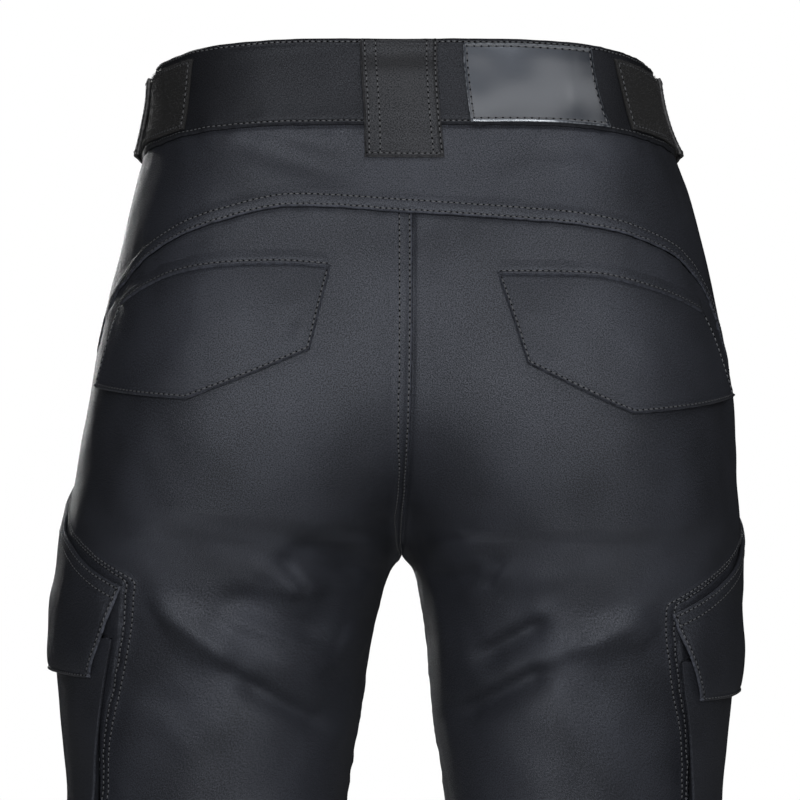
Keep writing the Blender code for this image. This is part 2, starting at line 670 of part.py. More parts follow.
def cargo_flap(name, side, material):
    """The pocket's flap: it follows the side panel's peaked top and falls over the pouch."""
    drop = POCKET_DROP[side]
    peak, corner = PANEL_TOP[side]
    across = between(0, 1, 12)
    top_share = CARGO_FLAP_REAR[0] + (CARGO_FLAP_FRONT[0] - CARGO_FLAP_REAR[0]) * across
    foot_share = CARGO_FLAP_REAR[1] + (CARGO_FLAP_FRONT[1] - CARGO_FLAP_REAR[1]) * across
    rear_slope = (SIDE_SHARE - top_share) / (SIDE_SHARE - side_edges(side, corner)[0])
    front_slope = (top_share - SIDE_SHARE) / (side_edges(side, corner)[1] - SIDE_SHARE)
    below_seam = 0.006
    top_depth = peak + (corner - peak) * np.maximum(rear_slope, front_slope) + below_seam
    foot_depth = np.full(across.shape, CARGO_FLAP_FOOT + drop)
    share = crossing(top_share, foot_share, 6)
    depth = crossing(top_depth, foot_depth, 6)
    hang = curve(CARGO_FLAP_UNDER, depth - drop)
    ramp = SEAT_GAP + 0.42 * (depth - depth[0])
    return overlay(name, side * share, depth, np.minimum(hang, ramp), material, wall=FLAP_WALL)


def cargo_pouch(name, side, material):
    """The bellows pouch: an outer face on a gusset round three sides, open along the top.

    The face's two sides and its foot, and the gusset's seam on the panel inside them, are two nested runs.
    """
    drop = POCKET_DROP[side]
    rows, columns = 9, 9
    share, depth = np.zeros((2, rows + 1, columns + 1))
    for inset in (0, 1):
        foot = POUCH_FOOT - GUSSET_FOOT_LEAN * (1 - inset)
        run = between(POUCH_TOP, foot, rows - inset)
        rear = curve(POUCH_REAR, run) + GUSSET_LEAN * (1 - inset)
        front = curve(POUCH_FRONT, run) - GUSSET_LEAN * (1 - inset)
        inner = slice(inset, columns + 1 - inset)
        across = between(0, 1, columns - 2 * inset)[None, :]
        share[: rows + 1 - inset, inner] = rear[:, None] + (front - rear)[:, None] * across
        depth[: rows + 1 - inset, inner] = run[:, None]
    lift = curve(POUCH_UNDER, depth)
    lean = GUSSET_LEAN * half_girth(POUCH_FOOT)
    seat = SEAT_GAP + FACET_ROOM
    lift[:, [0, -1]] = seat + WALL * lean / np.hypot(lean, lift[:, [1, -2]])
    lift[-1] = seat + WALL * GUSSET_FOOT_LEAN / np.hypot(GUSSET_FOOT_LEAN, lift[-2])
    return overlay(name, side * share, depth + drop, lift, material)


def clear_scene():
    for thing in list(bpy.data.objects):
        bpy.data.objects.remove(thing, do_unlink=True)


def make_material(name, colour, roughness, metallic=0.0):
    material = bpy.data.materials.new(name)
    material.use_nodes = True
    shader = material.node_tree.nodes["Principled BSDF"]
    shader.inputs["Base Color"].default_value = (*colour, 1.0)
    shader.inputs["Roughness"].default_value = roughness
    shader.inputs["Metallic"].default_value = metallic
    return material


clear_scene()
COLLECTION = bpy.data.collections.new("motorcycle_trousers")
bpy.context.scene.collection.children.link(COLLECTION)
SHELL_CLOTH = make_material("shell_cloth", (0.020, 0.021, 0.024), 0.70)

BAND_CLOTH = make_material("band_cloth", (0.016, 0.017, 0.019), 0.75)
PATCH_LEATHER = make_material("patch_leather", (0.024, 0.026, 0.030), 0.32)
LOOP_TAPE = make_material("loop_tape", (0.012, 0.012, 0.013), 0.95)
HOOK_STRAP = make_material("hook_strap", (0.014, 0.014, 0.015), 0.60)
SNAP_METAL = make_material("snap_metal", (0.060, 0.060, 0.063), 0.35, 1.0)

SIDES = ((-1, "left", YOKE_SEAM_LEFT, FLAP_LEFT), (1, "right", YOKE_SEAM_RIGHT, FLAP_RIGHT))
for side, word, seam, flap_corners in SIDES:
    back_leg(f"back_leg_{word}", side, seam, SHELL_CLOTH)
    front_leg(f"front_leg_{word}", side, SHELL_CLOTH)
    side_panel(f"side_panel_{word}", side, SHELL_CLOTH)
    waistband(f"waistband_front_{word}", side * between(SIDE_SHARE, 1, FRONT_CELLS), BAND_CLOTH)
    back_flap(f"pocket_flap_{word}", flap_corners, SHELL_CLOTH)
    cargo_flap(f"cargo_flap_{word}", side, SHELL_CLOTH)
    cargo_pouch(f"cargo_pouch_{word}", side, SHELL_CLOTH)
    waist_piece(f"loop_tape_{word}", side, TAPE, LOOP_TAPE, TAPE_WALL, cells=(8, 2))
    adjuster_tab(f"adjuster_tab_{word}", side, HOOK_STRAP)
    belt_loop(
        f"belt_loop_front_{word}", side, True, FRONT_LOOP_OFFSET, FRONT_LOOP_WIDTH, FRONT_LOOP_FOOT, BAND_CLOTH
    )
yoke(SHELL_CLOTH)
waistband("waistband_back", between(-SIDE_SHARE, SIDE_SHARE, 2 * BACK_CELLS), BAND_CLOTH)
belt_loop("belt_loop_back", 1, False, LOOP_OFFSET, LOOP_WIDTH, LOOP_FOOT, BAND_CLOTH)
waist_piece("patch", 1, PATCH, PATCH_LEATHER, PATCH_WALL, cells=(6, 2))
fly(SHELL_CLOTH)
waist_piece("waist_tab", -1, CLOSING_TAB, BAND_CLOTH, WALL, cells=(6, 2))
snap(SNAP_METAL)
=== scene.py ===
# %% [markdown]
# # Motorcycle trousers
#
# The looks of a pair of black riding trousers, in the hollow form that they have when they are worn. The
# solids that carry them come first, as a fixed frame. Every piece of cloth here is a thin shell on the same
# form as its solid, and takes its place. Metres, +Z up, the back of the garment faces -Y.

# %% The frame
import math

import bmesh
import bpy
import numpy as np
from mathutils import Matrix, Vector


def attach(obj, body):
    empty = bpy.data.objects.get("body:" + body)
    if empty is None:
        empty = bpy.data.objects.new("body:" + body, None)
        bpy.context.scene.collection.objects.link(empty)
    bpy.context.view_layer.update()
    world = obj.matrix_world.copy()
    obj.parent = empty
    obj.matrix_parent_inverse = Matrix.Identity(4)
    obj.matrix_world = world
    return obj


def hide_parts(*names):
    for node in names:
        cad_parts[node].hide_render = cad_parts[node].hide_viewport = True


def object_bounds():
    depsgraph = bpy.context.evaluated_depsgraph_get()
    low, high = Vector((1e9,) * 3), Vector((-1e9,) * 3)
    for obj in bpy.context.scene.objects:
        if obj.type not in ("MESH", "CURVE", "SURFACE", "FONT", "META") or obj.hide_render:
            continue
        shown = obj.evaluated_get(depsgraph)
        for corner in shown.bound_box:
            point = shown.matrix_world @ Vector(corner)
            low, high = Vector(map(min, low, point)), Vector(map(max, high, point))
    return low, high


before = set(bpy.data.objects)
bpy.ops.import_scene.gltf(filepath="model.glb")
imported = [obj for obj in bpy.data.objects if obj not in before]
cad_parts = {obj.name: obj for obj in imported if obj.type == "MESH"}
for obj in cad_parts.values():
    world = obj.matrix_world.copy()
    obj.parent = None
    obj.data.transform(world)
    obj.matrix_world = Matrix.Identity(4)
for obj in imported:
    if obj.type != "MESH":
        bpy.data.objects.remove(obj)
solid_low, solid_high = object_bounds()
print(f"{len(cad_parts)} solids, {solid_high.z - solid_low.z:.3f} m tall")

# %% [markdown]
# ## The sizes of the form
#
# A tailor's block is a set of girths at heights. Each row below is a horizontal section through one half of
# the garment: how far it reaches to the side, to the back and to the front, and where its centre seams lie.
# The rows are the ones the solids were made from, so that the cloth lies where they are.

# %% Heights, walls and sections
HEM_DEPTH = 1.070
CROTCH_DEPTH = 0.277
BACK_RISE = 0.014
FRONT_DROP = 0.018
WALL = 0.002
BAND_WALL = 0.003
BAND_PROUD = 0.001
BAND_HEIGHT = 0.051
SIDE_SHARE = 0.53

SECTION_COLUMNS = ("height", "half_width", "gap", "back", "front", "seam_back", "seam_front", "mid", "square")
SECTIONS = (
    (0.030, 0.1450, None, 0.1050, 0.1020, 0.1040, 0.1010, 0.000, 2.30),
    (0.000, 0.1470, None, 0.1090, 0.1040, 0.1080, 0.1030, 0.000, 2.30),
    (-0.030, 0.1520, None, 0.1150, 0.1070, 0.1140, 0.1060, 0.000, 2.30),
    (-0.056, 0.1610, None, 0.1220, 0.1100, 0.1205, 0.1090, 0.000, 2.30),
    (-0.092, 0.1710, None, 0.1330, 0.1140, 0.1300, 0.1120, 0.000, 2.30),
    (-0.140, 0.1820, None, 0.1450, 0.1180, 0.1400, 0.1140, 0.000, 2.28),
    (-0.188, 0.1910, None, 0.1500, 0.1190, 0.1400, 0.1090, 0.000, 2.25),
    (-0.216, 0.1950, None, 0.1470, 0.1175, 0.1280, 0.0980, 0.000, 2.22),
    (-0.240, 0.1975, None, 0.1420, 0.1150, 0.1030, 0.0790, 0.000, 2.20),
    (-0.260, 0.2000, None, 0.1360, 0.1120, 0.0700, 0.0540, 0.000, 2.20),
    (-0.277, 0.2020, 0.0000, 0.1300, 0.1085, 0.0000, 0.0000, 0.000, 2.18),
    (-0.300, 0.2020, 0.0100, 0.1220, 0.1040, None, None, 0.000, 2.15),
    (-0.330, 0.1970, 0.0160, 0.1130, 0.0990, None, None, 0.000, 2.12),
    (-0.370, 0.1915, 0.0205, 0.1040, 0.0950, None, None, 0.000, 2.10),
    (-0.430, 0.1845, 0.0295, 0.0940, 0.0900, None, None, 0.002, 2.10),
    (-0.550, 0.1790, 0.0430, 0.0800, 0.0840, None, None, 0.004, 2.10),
    (-0.660, 0.1800, 0.0500, 0.0740, 0.0850, None, None, 0.004, 2.10),
    (-0.780, 0.1860, 0.0540, 0.0790, 0.0760, None, None, -0.002, 2.10),
    (-0.920, 0.1930, 0.0590, 0.0770, 0.0720, None, None, -0.008, 2.10),
    (-1.070, 0.1990, 0.0620, 0.0750, 0.0730, None, None, -0.012, 2.10),
)

# How far the stance carries each height to the side: height, shift
STANCE = (
    (-0.50, -0.008),
    (-0.36, -0.006),
    (-0.28, -0.003),
    (-0.20, 0.002),
    (-0.10, 0.003),
    (0.00, -0.002),
)

# Lattice of the form
SHARES = 96
TORSO_ROWS = 44
LEG_ROWS = 80
GIRTH_BLEND = 61
RELAX_PASSES = 60
RELAX_REACH = 0.085

# %% [markdown]
# ## The form
#
# A place on the cloth is a share of the half girth (0 at the centre back or the inseam, past the side at
# 0.5, to 1 at the centre front, and below 0 on the left half) and a depth down the side seam. The form could
# be a sculpted mesh, but then no seam could be placed on it by its size. So it is a lattice that is worked
# out from the sections, and read between its points with a cubic, which keeps the light smooth over it.

# %% Curves through tables
def curve(points, at):
    """Smooth values through the points of a two-column table, with no overshoot."""
    xs, ys = np.array(sorted(points), float).T
    steps = np.diff(xs)
    slopes = np.diff(ys) / steps
    tangents = np.concatenate([slopes[:1], (slopes[:-1] + slopes[1:]) / 2, slopes[-1:]])
    tangents[1:-1][slopes[:-1] * slopes[1:] <= 0] = 0
    limits = 3 * np.minimum(abs(slopes[:-1]), abs(slopes[1:]))
    tangents[1:-1] = np.clip(tangents[1:-1], -limits, limits)
    at = np.clip(at, xs[0], xs[-1])
    i = np.clip(np.searchsorted(xs, at) - 1, 0, len(steps) - 1)
    t = (at - xs[i]) / steps[i]
    rise = t * t * (3 - 2 * t)
    lead = t * (1 - t) ** 2 * steps[i] * tangents[i]
    tail = t * t * (t - 1) * steps[i] * tangents[i + 1]
    return ys[i] * (1 - rise) + ys[i + 1] * rise + lead + tail


def smoothstep(t):
    t = np.clip(t, 0.0, 1.0)
    return t * t * (3 - 2 * t)


def run_length(points):
    steps = np.linalg.norm(np.diff(points, axis=0), axis=-1)
    return np.concatenate([np.zeros((1,) + steps.shape[1:]), np.cumsum(steps, axis=0)])


def unit(vectors):
    return vectors / np.linalg.norm(vectors, axis=-1, keepdims=True)


TABLES = {
    name: [(row[0], row[k]) for row in SECTIONS if row[k] is not None]
    for k, name in enumerate(SECTION_COLUMNS)
    if k
}


# %% One section, and the lattice of them
def half_section(z):
    """Points of one half at a height, from the centre back round the side to the front."""
    width, mid, square = (float(curve(TABLES[k], z)) for k in ("half_width", "mid", "square"))
    torso = z > -CROTCH_DEPTH
    centre = width / 2 if torso else (width + float(curve(TABLES["gap"], z))) / 2
    halves = []
    for side, depth_name, seam_name in ((-1, "back", "seam_back"), (1, "front", "seam_front")):
        depth = float(curve(TABLES[depth_name], z))
        inner = centre if torso else centre - float(curve(TABLES["gap"], z))
        start = 0.0
        if torso:
            ratio = float(curve(TABLES[seam_name], z)) / depth
            inner = centre / (1 - ratio**square) ** (1 / square)
            start = math.acos(min(1.0, centre / inner) ** (square / 2))
        rise = np.linspace(start, math.pi / 2, 200)
        fall = np.linspace(math.pi / 2, 0, 200)[1:]
        x = np.concatenate([
            centre - inner * np.cos(rise) ** (2 / square),
            centre + (width - centre) * abs(np.cos(fall)) ** (2 / square),
        ])
        y = mid + side * depth * np.concatenate([np.sin(rise), np.sin(fall)]) ** (2 / square)
        halves.append(np.stack([x, y], axis=1))
    return halves


def share_sections(heights):
    """Points at even shares for each height. The extra girth round the crotch goes to the shares near it."""
    halves = [half_section(z) for z in heights]
    nearness = np.linspace(0, 1, SHARES // 2 + 1)
    found = []
    for k in (0, 1):
        lengths = np.array([run_length(pair[k])[-1] for pair in halves])
        window = np.hanning(GIRTH_BLEND)
        padded = np.pad(lengths, GIRTH_BLEND // 2, mode="edge")
        steady = np.convolve(padded, window / window.sum(), mode="same")[GIRTH_BLEND // 2 :][: len(lengths)]
        rows = []
        for pair, length, base in zip(halves, lengths, steady):
            from_side = base * nearness + (length - base) * nearness**4
            along = run_length(pair[k])
            rows.append([np.interp(length - from_side, along, pair[k][:, axis]) for axis in (0, 1)])
        found.append(np.array(rows).transpose(0, 2, 1))
    back, front = found
    return np.concatenate([back[:, ::-1], front[:, 1:]], axis=1)


def seam_heights(seam_name, top):
    """Heights on a centre seam for each torso row: level with the waist at first, then along the curve."""
    z = np.linspace(top, -CROTCH_DEPTH, 400)
    y = curve(TABLES[seam_name], z)
    along = np.concatenate([[0], np.cumsum(np.hypot(np.diff(z), np.diff(y)))])
    depth = np.linspace(0, CROTCH_DEPTH, TORSO_ROWS + 1)
    level = BAND_HEIGHT + 0.009
    extra = (along[-1] - CROTCH_DEPTH) * np.clip((depth - level) / (CROTCH_DEPTH - level), 0, 1) ** 2
    return np.interp(depth + extra, along, z)


def ghosts(grid):
    """The grid with a border of neighbours: mirrored up the centre seams, and wrapped round each leg."""
    wide = np.pad(grid, ((0, 0), (1, 1), (0, 0)))
    mirror = np.array([-1, 1, 1])
    wide[:TORSO_ROWS, 0] = grid[:TORSO_ROWS, 1] * mirror
    wide[:TORSO_ROWS, -1] = grid[:TORSO_ROWS, -2] * mirror
    wide[TORSO_ROWS:, 0] = grid[TORSO_ROWS:, -2]
    wide[TORSO_ROWS:, -1] = grid[TORSO_ROWS:, 1]
    return wide


def arch(grid):
    """Lets the cloth span the crotch as a low arch, as it does under tension."""
    away = np.linalg.norm((grid - grid[TORSO_ROWS, 0]) * (1.6, 1.0, 1.0), axis=2)
    weight = 0.5 * np.clip(1 - away / RELAX_REACH, 0, 1)[..., None]
    for _ in range(RELAX_PASSES):
        wide = ghosts(grid)
        up = np.concatenate([grid[:1], grid[:-1]])
        down = np.concatenate([grid[1:], grid[-1:]])
        mean = (wide[:, :-2] + wide[:, 2:] + up + down) / 4
        above = (grid[TORSO_ROWS - 1, 0] + grid[TORSO_ROWS - 1, -1]) / 4
        mean[TORSO_ROWS, [0, -1]] = above + grid[TORSO_ROWS + 1, 0] / 2
        grid = grid + weight * (mean - grid)
        grid[: TORSO_ROWS + 1, [0, -1], 0] = 0
        grid[TORSO_ROWS + 1 :, -1] = grid[TORSO_ROWS + 1 :, 0]
    return grid


def lattice_normals(grid):
    wide = ghosts(grid)
    across = wide[:, 2:] - wide[:, :-2]
    normals = unit(np.cross(np.gradient(grid, axis=0), across))
    seams = normals[: TORSO_ROWS + 1, [0, -1]]
    seams[..., 0] = 0
    normals[: TORSO_ROWS + 1, [0, -1]] = unit(seams)
    normals[TORSO_ROWS, [0, -1]] = (0, 0, -1)
    return normals


def make_lattice():
    heights = np.linspace(BACK_RISE + 0.01, -HEM_DEPTH, 460)
    sections = share_sections(heights)
    back = seam_heights("seam_back", BACK_RISE)
    front = seam_heights("seam_front", -FRONT_DROP)
    shares = np.linspace(0, 1, SHARES + 1)
    near_back = 1 - smoothstep((shares - 0.12) / 0.43)
    near_front = 1 - smoothstep((0.88 - shares) / 0.43)
    torso = -np.linspace(0, CROTCH_DEPTH, TORSO_ROWS + 1)[:, None]
    legs = -np.linspace(CROTCH_DEPTH, HEM_DEPTH, LEG_ROWS + 1)[1:, None]
    z = torso + (back[:, None] - torso) * near_back + (front[:, None] - torso) * near_front
    z = np.concatenate([z, np.broadcast_to(legs, (LEG_ROWS, SHARES + 1))])
    grid = np.zeros(z.shape + (3,))
    grid[..., 2] = z
    for c in range(SHARES + 1):
        for k in (0, 1):
            grid[:, c, k] = np.interp(-z[:, c], -heights, sections[:, c, k])
    grid[: TORSO_ROWS + 1, [0, -1], 0] = 0
    grid = arch(grid)
    return grid, lattice_normals(grid)


def bordered(grid):
    """The lattice with one more row and column of neighbours on each side, for the cubic to read."""
    wide = ghosts(grid)
    return np.concatenate([2 * wide[:1] - wide[1:2], wide, 2 * wide[-1:] - wide[-2:-1]])


LATTICE = [bordered(grid) for grid in make_lattice()]
print("lattice of the form:", LATTICE[0].shape[:2])

# %% [markdown]
# ## Folds and creases
#
# Cloth that is filled out hangs in soft folds from its tight places: below the seat, across the inner thigh
# and from the pocket's corner. A cloth simulation would give folds, but not these ones. Each is listed: a
# line on the face that is seen, how wide and how high it is, how far it bows, and a skew that makes one
# flank steeper than the other. The large folds are also in the solids. The small ones are only here.

# %% Folds: face, x and z of each end, half width, height, skew and bow
FOLD_COLUMNS = ("face", "x0", "z0", "x1", "z1", "spread", "height", "skew", "bow")
FOLDS = (
    (-1, -0.070, -0.279, -0.014, -0.291, 0.0085, -0.0042, 0.0, 0.0),
    (-1, -0.072, -0.288, -0.042, -0.312, 0.0095, 0.0030, 0.0, 0.0),
    (-1, -0.112, -0.308, -0.034, -0.332, 0.0090, -0.0030, 0.0, 0.0),
    (-1, -0.150, -0.305, -0.090, -0.350, 0.0100, 0.0038, 0.0, 0.0),
    (-1, -0.095, -0.352, -0.028, -0.386, 0.0095, -0.0042, 0.0, 0.0),
    (-1, -0.110, -0.318, -0.030, -0.360, 0.0100, 0.0032, 0.0, 0.0),
    (-1, 0.088, -0.318, 0.040, -0.350, 0.0090, -0.0038, 0.0, 0.0),
    (-1, 0.150, -0.318, 0.098, -0.342, 0.0100, 0.0034, 0.0, 0.0),
    (-1, 0.092, -0.345, 0.026, -0.384, 0.0095, -0.0040, 0.0, 0.0),
    (-1, 0.058, -0.283, 0.052, -0.306, 0.0090, 0.0028, 0.0, 0.0),
    (-1, -0.145, -0.600, -0.062, -0.622, 0.0130, -0.0050, 0.0, 0.0),
    (-1, -0.150, -0.648, -0.070, -0.640, 0.0140, -0.0055, 0.0, 0.0),
    (-1, 0.062, -0.604, 0.145, -0.626, 0.0130, -0.0050, 0.0, 0.0),
    (-1, 0.070, -0.652, 0.150, -0.644, 0.0140, -0.0055, 0.0, 0.0),
    (-1, -0.160, -0.960, -0.080, -0.985, 0.0160, -0.0045, 0.0, 0.0),
    (-1, 0.080, -0.975, 0.165, -0.950, 0.0160, -0.0045, 0.0, 0.0),
    (1, -0.130, -0.235, -0.030, -0.272, 0.0120, -0.0045, 0.0, 0.0),
    (1, 0.030, -0.268, 0.125, -0.240, 0.0120, -0.0045, 0.0, 0.0),
    (1, -0.140, -0.300, -0.040, -0.325, 0.0130, -0.0040, 0.0, 0.0),
    (1, 0.042, -0.328, 0.140, -0.305, 0.0130, -0.0040, 0.0, 0.0),
    (1, -0.150, -0.540, -0.080, -0.560, 0.0150, 0.0045, 0.0, 0.0),
    (1, 0.080, -0.562, 0.150, -0.542, 0.0150, 0.0045, 0.0, 0.0),
    (1, -0.165, -0.990, -0.085, -0.965, 0.0160, -0.0050, 0.0, 0.0),
    (1, 0.085, -0.970, 0.165, -0.995, 0.0160, -0.0050, 0.0, 0.0),
)
FOLD_STRENGTH = 1.35

# Creases: height, half width above and below the line, and its points from left to right, all as seen behind
CREASES = (
    (-0.0028, 0.0030, 0.0050, ((-0.0733, -0.2794), (-0.0617, -0.2892), (-0.0502, -0.2921), (-0.0329, -0.2938), (-0.0087, -0.2950))),
    (-0.0024, 0.0030, 0.0040, ((-0.0704, -0.2823), (-0.0617, -0.2932), (-0.0525, -0.3059))),
    (0.0016, 0.0060, 0.0050, ((-0.0877, -0.2863), (-0.0704, -0.2961), (-0.0571, -0.3082))),
    (-0.0015, 0.0040, 0.0060, ((-0.0987, -0.3036), (-0.0790, -0.3082), (-0.0473, -0.3111))),
    (0.0018, 0.0070, 0.0035, ((-0.1166, -0.3094), (-0.0906, -0.3198), (-0.0617, -0.3325), (-0.0358, -0.3509))),
    (-0.0026, 0.0030, 0.0060, ((-0.1137, -0.3163), (-0.0906, -0.3279), (-0.0675, -0.3365), (-0.0502, -0.3452), (-0.0329, -0.3613), (-0.0225, -0.3740))),
    (0.0026, 0.0090, 0.0040, ((-0.1454, -0.3025), (-0.1252, -0.3198), (-0.0964, -0.3429), (-0.0733, -0.3584), (-0.0502, -0.3717), (-0.0294, -0.3844))),
    (-0.0028, 0.0035, 0.0070, ((-0.1166, -0.3383), (-0.0992, -0.3498), (-0.0762, -0.3631), (-0.0531, -0.3769), (-0.0283, -0.3931))),
    (-0.0016, 0.0030, 0.0040, ((-0.1489, -0.3082), (-0.1396, -0.3181), (-0.1310, -0.3325))),
    (0.0010, 0.0080, 0.0080, ((-0.1598, -0.3671), (-0.1367, -0.3775), (-0.1137, -0.4029))),
    (0.0022, 0.0090, 0.0100, ((-0.0358, -0.3325), (-0.0167, -0.3394))),
    (-0.0022, 0.0040, 0.0030, ((0.0496, -0.3036), (0.0537, -0.2932), (0.0583, -0.2840))),
    (-0.0024, 0.0030, 0.0060, ((0.0387, -0.3527), (0.0462, -0.3417), (0.0577, -0.3348), (0.0894, -0.3186))),
    (0.0018, 0.0070, 0.0035, ((0.0421, -0.3383), (0.0594, -0.3279), (0.0912, -0.3111))),
    (-0.0026, 0.0030, 0.0070, ((0.0225, -0.3850), (0.0404, -0.3734), (0.0612, -0.3613), (0.0894, -0.3452))),
    (0.0022, 0.0080, 0.0040, ((0.0248, -0.3775), (0.0421, -0.3659), (0.0652, -0.3533), (0.1114, -0.3325), (0.1506, -0.3106))),
    (0.0012, 0.0050, 0.0040, ((0.1344, -0.3383), (0.1483, -0.3209))),
    (0.0012, 0.0080, 0.0080, ((0.0710, -0.2979), (0.0969, -0.2932))),
    (-0.0016, 0.0030, 0.0050, ((0.0144, -0.2979), (0.0306, -0.2961), (0.0479, -0.2898))),
    (-0.0013, 0.0025, 0.0070, ((-0.1044, -0.0434), (-0.0837, -0.0497), (-0.0617, -0.0573), (-0.0340, -0.0665))),
    (-0.0009, 0.0025, 0.0050, ((-0.0715, -0.0434), (-0.0358, -0.0503))),
    (-0.0013, 0.0060, 0.0025, ((0.0739, -0.0561), (0.0941, -0.0515), (0.1114, -0.0480))),
    (0.0008, 0.0060, 0.0080, ((0.0364, -0.0699), (0.0710, -0.0613), (0.1056, -0.0544))),
    (0.0009, 0.0070, 0.0090, ((-0.1194, -0.0497), (-0.0848, -0.0624), (-0.0502, -0.0728))),
)


def fold_heights(points, normals, rows=FOLDS):
    """How far folds push each point out or in."""
    x, z, facing_back = points[..., 0], points[..., 2], -normals[..., 1]
    total = np.zeros(x.shape)
    for fold in (dict(zip(FOLD_COLUMNS, row)) for row in rows):
        run = np.array([fold["x1"] - fold["x0"], fold["z1"] - fold["z0"]])
        length = np.linalg.norm(run)
        run /= length
        from_start = x - fold["x0"], z - fold["z0"]
        along = from_start[0] * run[0] + from_start[1] * run[1]
        part = np.clip(along / length, 0, 1)
        off = from_start[0] * run[1] - from_start[1] * run[0] - 4 * fold["bow"] * part * (1 - part)
        off = off / fold["spread"]
        fade = 2 * fold["spread"]
        ends = smoothstep(along / fade) * smoothstep((length - along) / fade)
        facing = smoothstep(-fold["face"] * facing_back / 0.4)
        shape = (1 - fold["skew"]) * np.exp(-(off**2)) + 2.3 * fold["skew"] * off * np.exp(-(off**2))
        total += FOLD_STRENGTH * fold["height"] * shape * ends * facing
    return total


def crease_heights(points, normals):
    """The creases, each with a steep flank and a slow one. They run on round the edges that are seen."""
    x, z = points[..., 0], points[..., 2]
    total = np.zeros(x.shape)
    for height, above, below, line in CREASES:
        line = np.array(line)
        runs = np.diff(line, axis=0)
        lengths = np.linalg.norm(runs, axis=1)
        before = np.concatenate([[0], np.cumsum(lengths)])
        nearest, off, along = (np.full(x.shape, value) for value in (np.inf, 0.0, 0.0))
        for (x0, z0), run, length, so_far in zip(line, runs, lengths, before):
            way = run / length
            ahead = (x - x0) * way[0] + (z - z0) * way[1]
            aside = (x - x0) * way[1] - (z - z0) * way[0]
            gap = np.hypot(aside, ahead - np.clip(ahead, 0, length))
            closer = gap < nearest
            nearest = np.where(closer, gap, nearest)
            off = np.where(closer, np.copysign(gap, aside), off)
            along = np.where(closer, so_far + np.clip(ahead, 0, length), along)
        fade = 0.25 * before[-1]
        ends = smoothstep(along / fade) * smoothstep((before[-1] - along) / fade)
        total += height * ends * np.exp(-((off / np.where(off < 0, above, below)) ** 2))
    return total * smoothstep((0.3 - normals[..., 1]) / 0.5)


# %% Slack: the faint unevenness of filled-out cloth
SLACK_WAVES = 26
slack_random = np.random.default_rng(7)
slack_lengths = slack_random.uniform(0.018, 0.070, SLACK_WAVES)
slack_ways = unit(slack_random.normal(size=(SLACK_WAVES, 3))) * (2 * math.pi / slack_lengths[:, None])
slack_starts = slack_random.uniform(0, 2 * math.pi, SLACK_WAVES)
SLACK_HEIGHT = 0.0022


def slack(points):
    """A sum of long waves in space, so that it goes on across a seam."""
    total = np.zeros(points.shape[:-1])
    for way, start, length in zip(slack_ways, slack_starts, slack_lengths):
        total += length * np.sin(points @ way + start)
    return SLACK_HEIGHT * total


# %% Reading the form
def cubic_weights(t):
    return (
        -t / 2 + t**2 - t**3 / 2,
        1 - 5 * t**2 / 2 + 3 * t**3 / 2,
        t / 2 + 2 * t**2 - 3 * t**3 / 2,
        -(t**2) / 2 + t**3 / 2,
    )


def form(share, depth):
    """The point and the outward normal of the cloth's outer face at arrays of shares and depths."""
    share, depth = np.broadcast_arrays(np.asarray(share, float), np.asarray(depth, float))
    past_front = abs(share) > 1
    right = ~np.signbit(share) ^ past_front
    near = np.where(past_front, 2 - abs(share), abs(share))
    above = depth / CROTCH_DEPTH * TORSO_ROWS
    below = TORSO_ROWS + (depth - CROTCH_DEPTH) / (HEM_DEPTH - CROTCH_DEPTH) * LEG_ROWS
    row = np.where(depth < CROTCH_DEPTH, above, below).clip(0, TORSO_ROWS + LEG_ROWS - 1e-9)
    column = (near * SHARES).clip(0, SHARES - 1e-9)
    r, c = row.astype(int), column.astype(int)
    found = []
    for grid in LATTICE:
        value = np.zeros(share.shape + (3,))
        for i, down in enumerate(cubic_weights(row - r)):
            for j, across in enumerate(cubic_weights(column - c)):
                value += grid[r + i, c + j] * (down * across)[..., None]
        value[..., 0] *= np.where(right, 1, -1)
        found.append(value)
    points, normals = found[0], unit(found[1])
    rise = fold_heights(points, normals) + crease_heights(points, normals) + slack(points)
    points = points + rise[..., None] * normals
    points[..., 0] += curve(STANCE, points[..., 2])
    return points, normals


def seen(face, x, z):
    """The share and depth of the place that is seen at x and z from behind or from the front."""
    side = 1 if x >= 0 else -1
    depths = np.linspace(0, HEM_DEPTH, 400)
    shares = np.linspace(0, 0.5, 200) if face < 0 else np.linspace(0.5, 1, 200)
    share, depth = 0.3 if face < 0 else 0.7, -z
    for _ in range(8):
        column, _ = form(side * share, depths)
        depth = float(np.interp(-z, -column[:, 2], depths))
        row, _ = form(side * shares, depth)
        order = np.argsort(side * row[:, 0])
        share = float(np.interp(side * x, side * row[order, 0], shares[order]))
    return side * share, depth


print("waist at the centre back:", form(0.0, 0.0)[0].round(4))

# %% [markdown]
# ## Finishes
#
# All of the cloth is one tightly woven, faintly shiny black. Close up it is speckled, because each thread
# crossing catches the light on its own. A picture of cloth could be wrapped over it, but a small group of
# noise nodes does the same at any size. The group reads the piece's own UV map, which is laid out in metres
# along the cloth, so that the threads run with the grain of each panel and have one size everywhere.

# %% Node helpers
def add_node(tree, kind, **values):
    node = tree.nodes.new(kind)
    for name, value in values.items():
        if name in node.inputs:
            node.inputs[name].default_value = value
        else:
            setattr(node, name, value)
    return node


def wire(tree, start, output, end, entry):
    tree.links.new(start.outputs[output], end.inputs[entry])


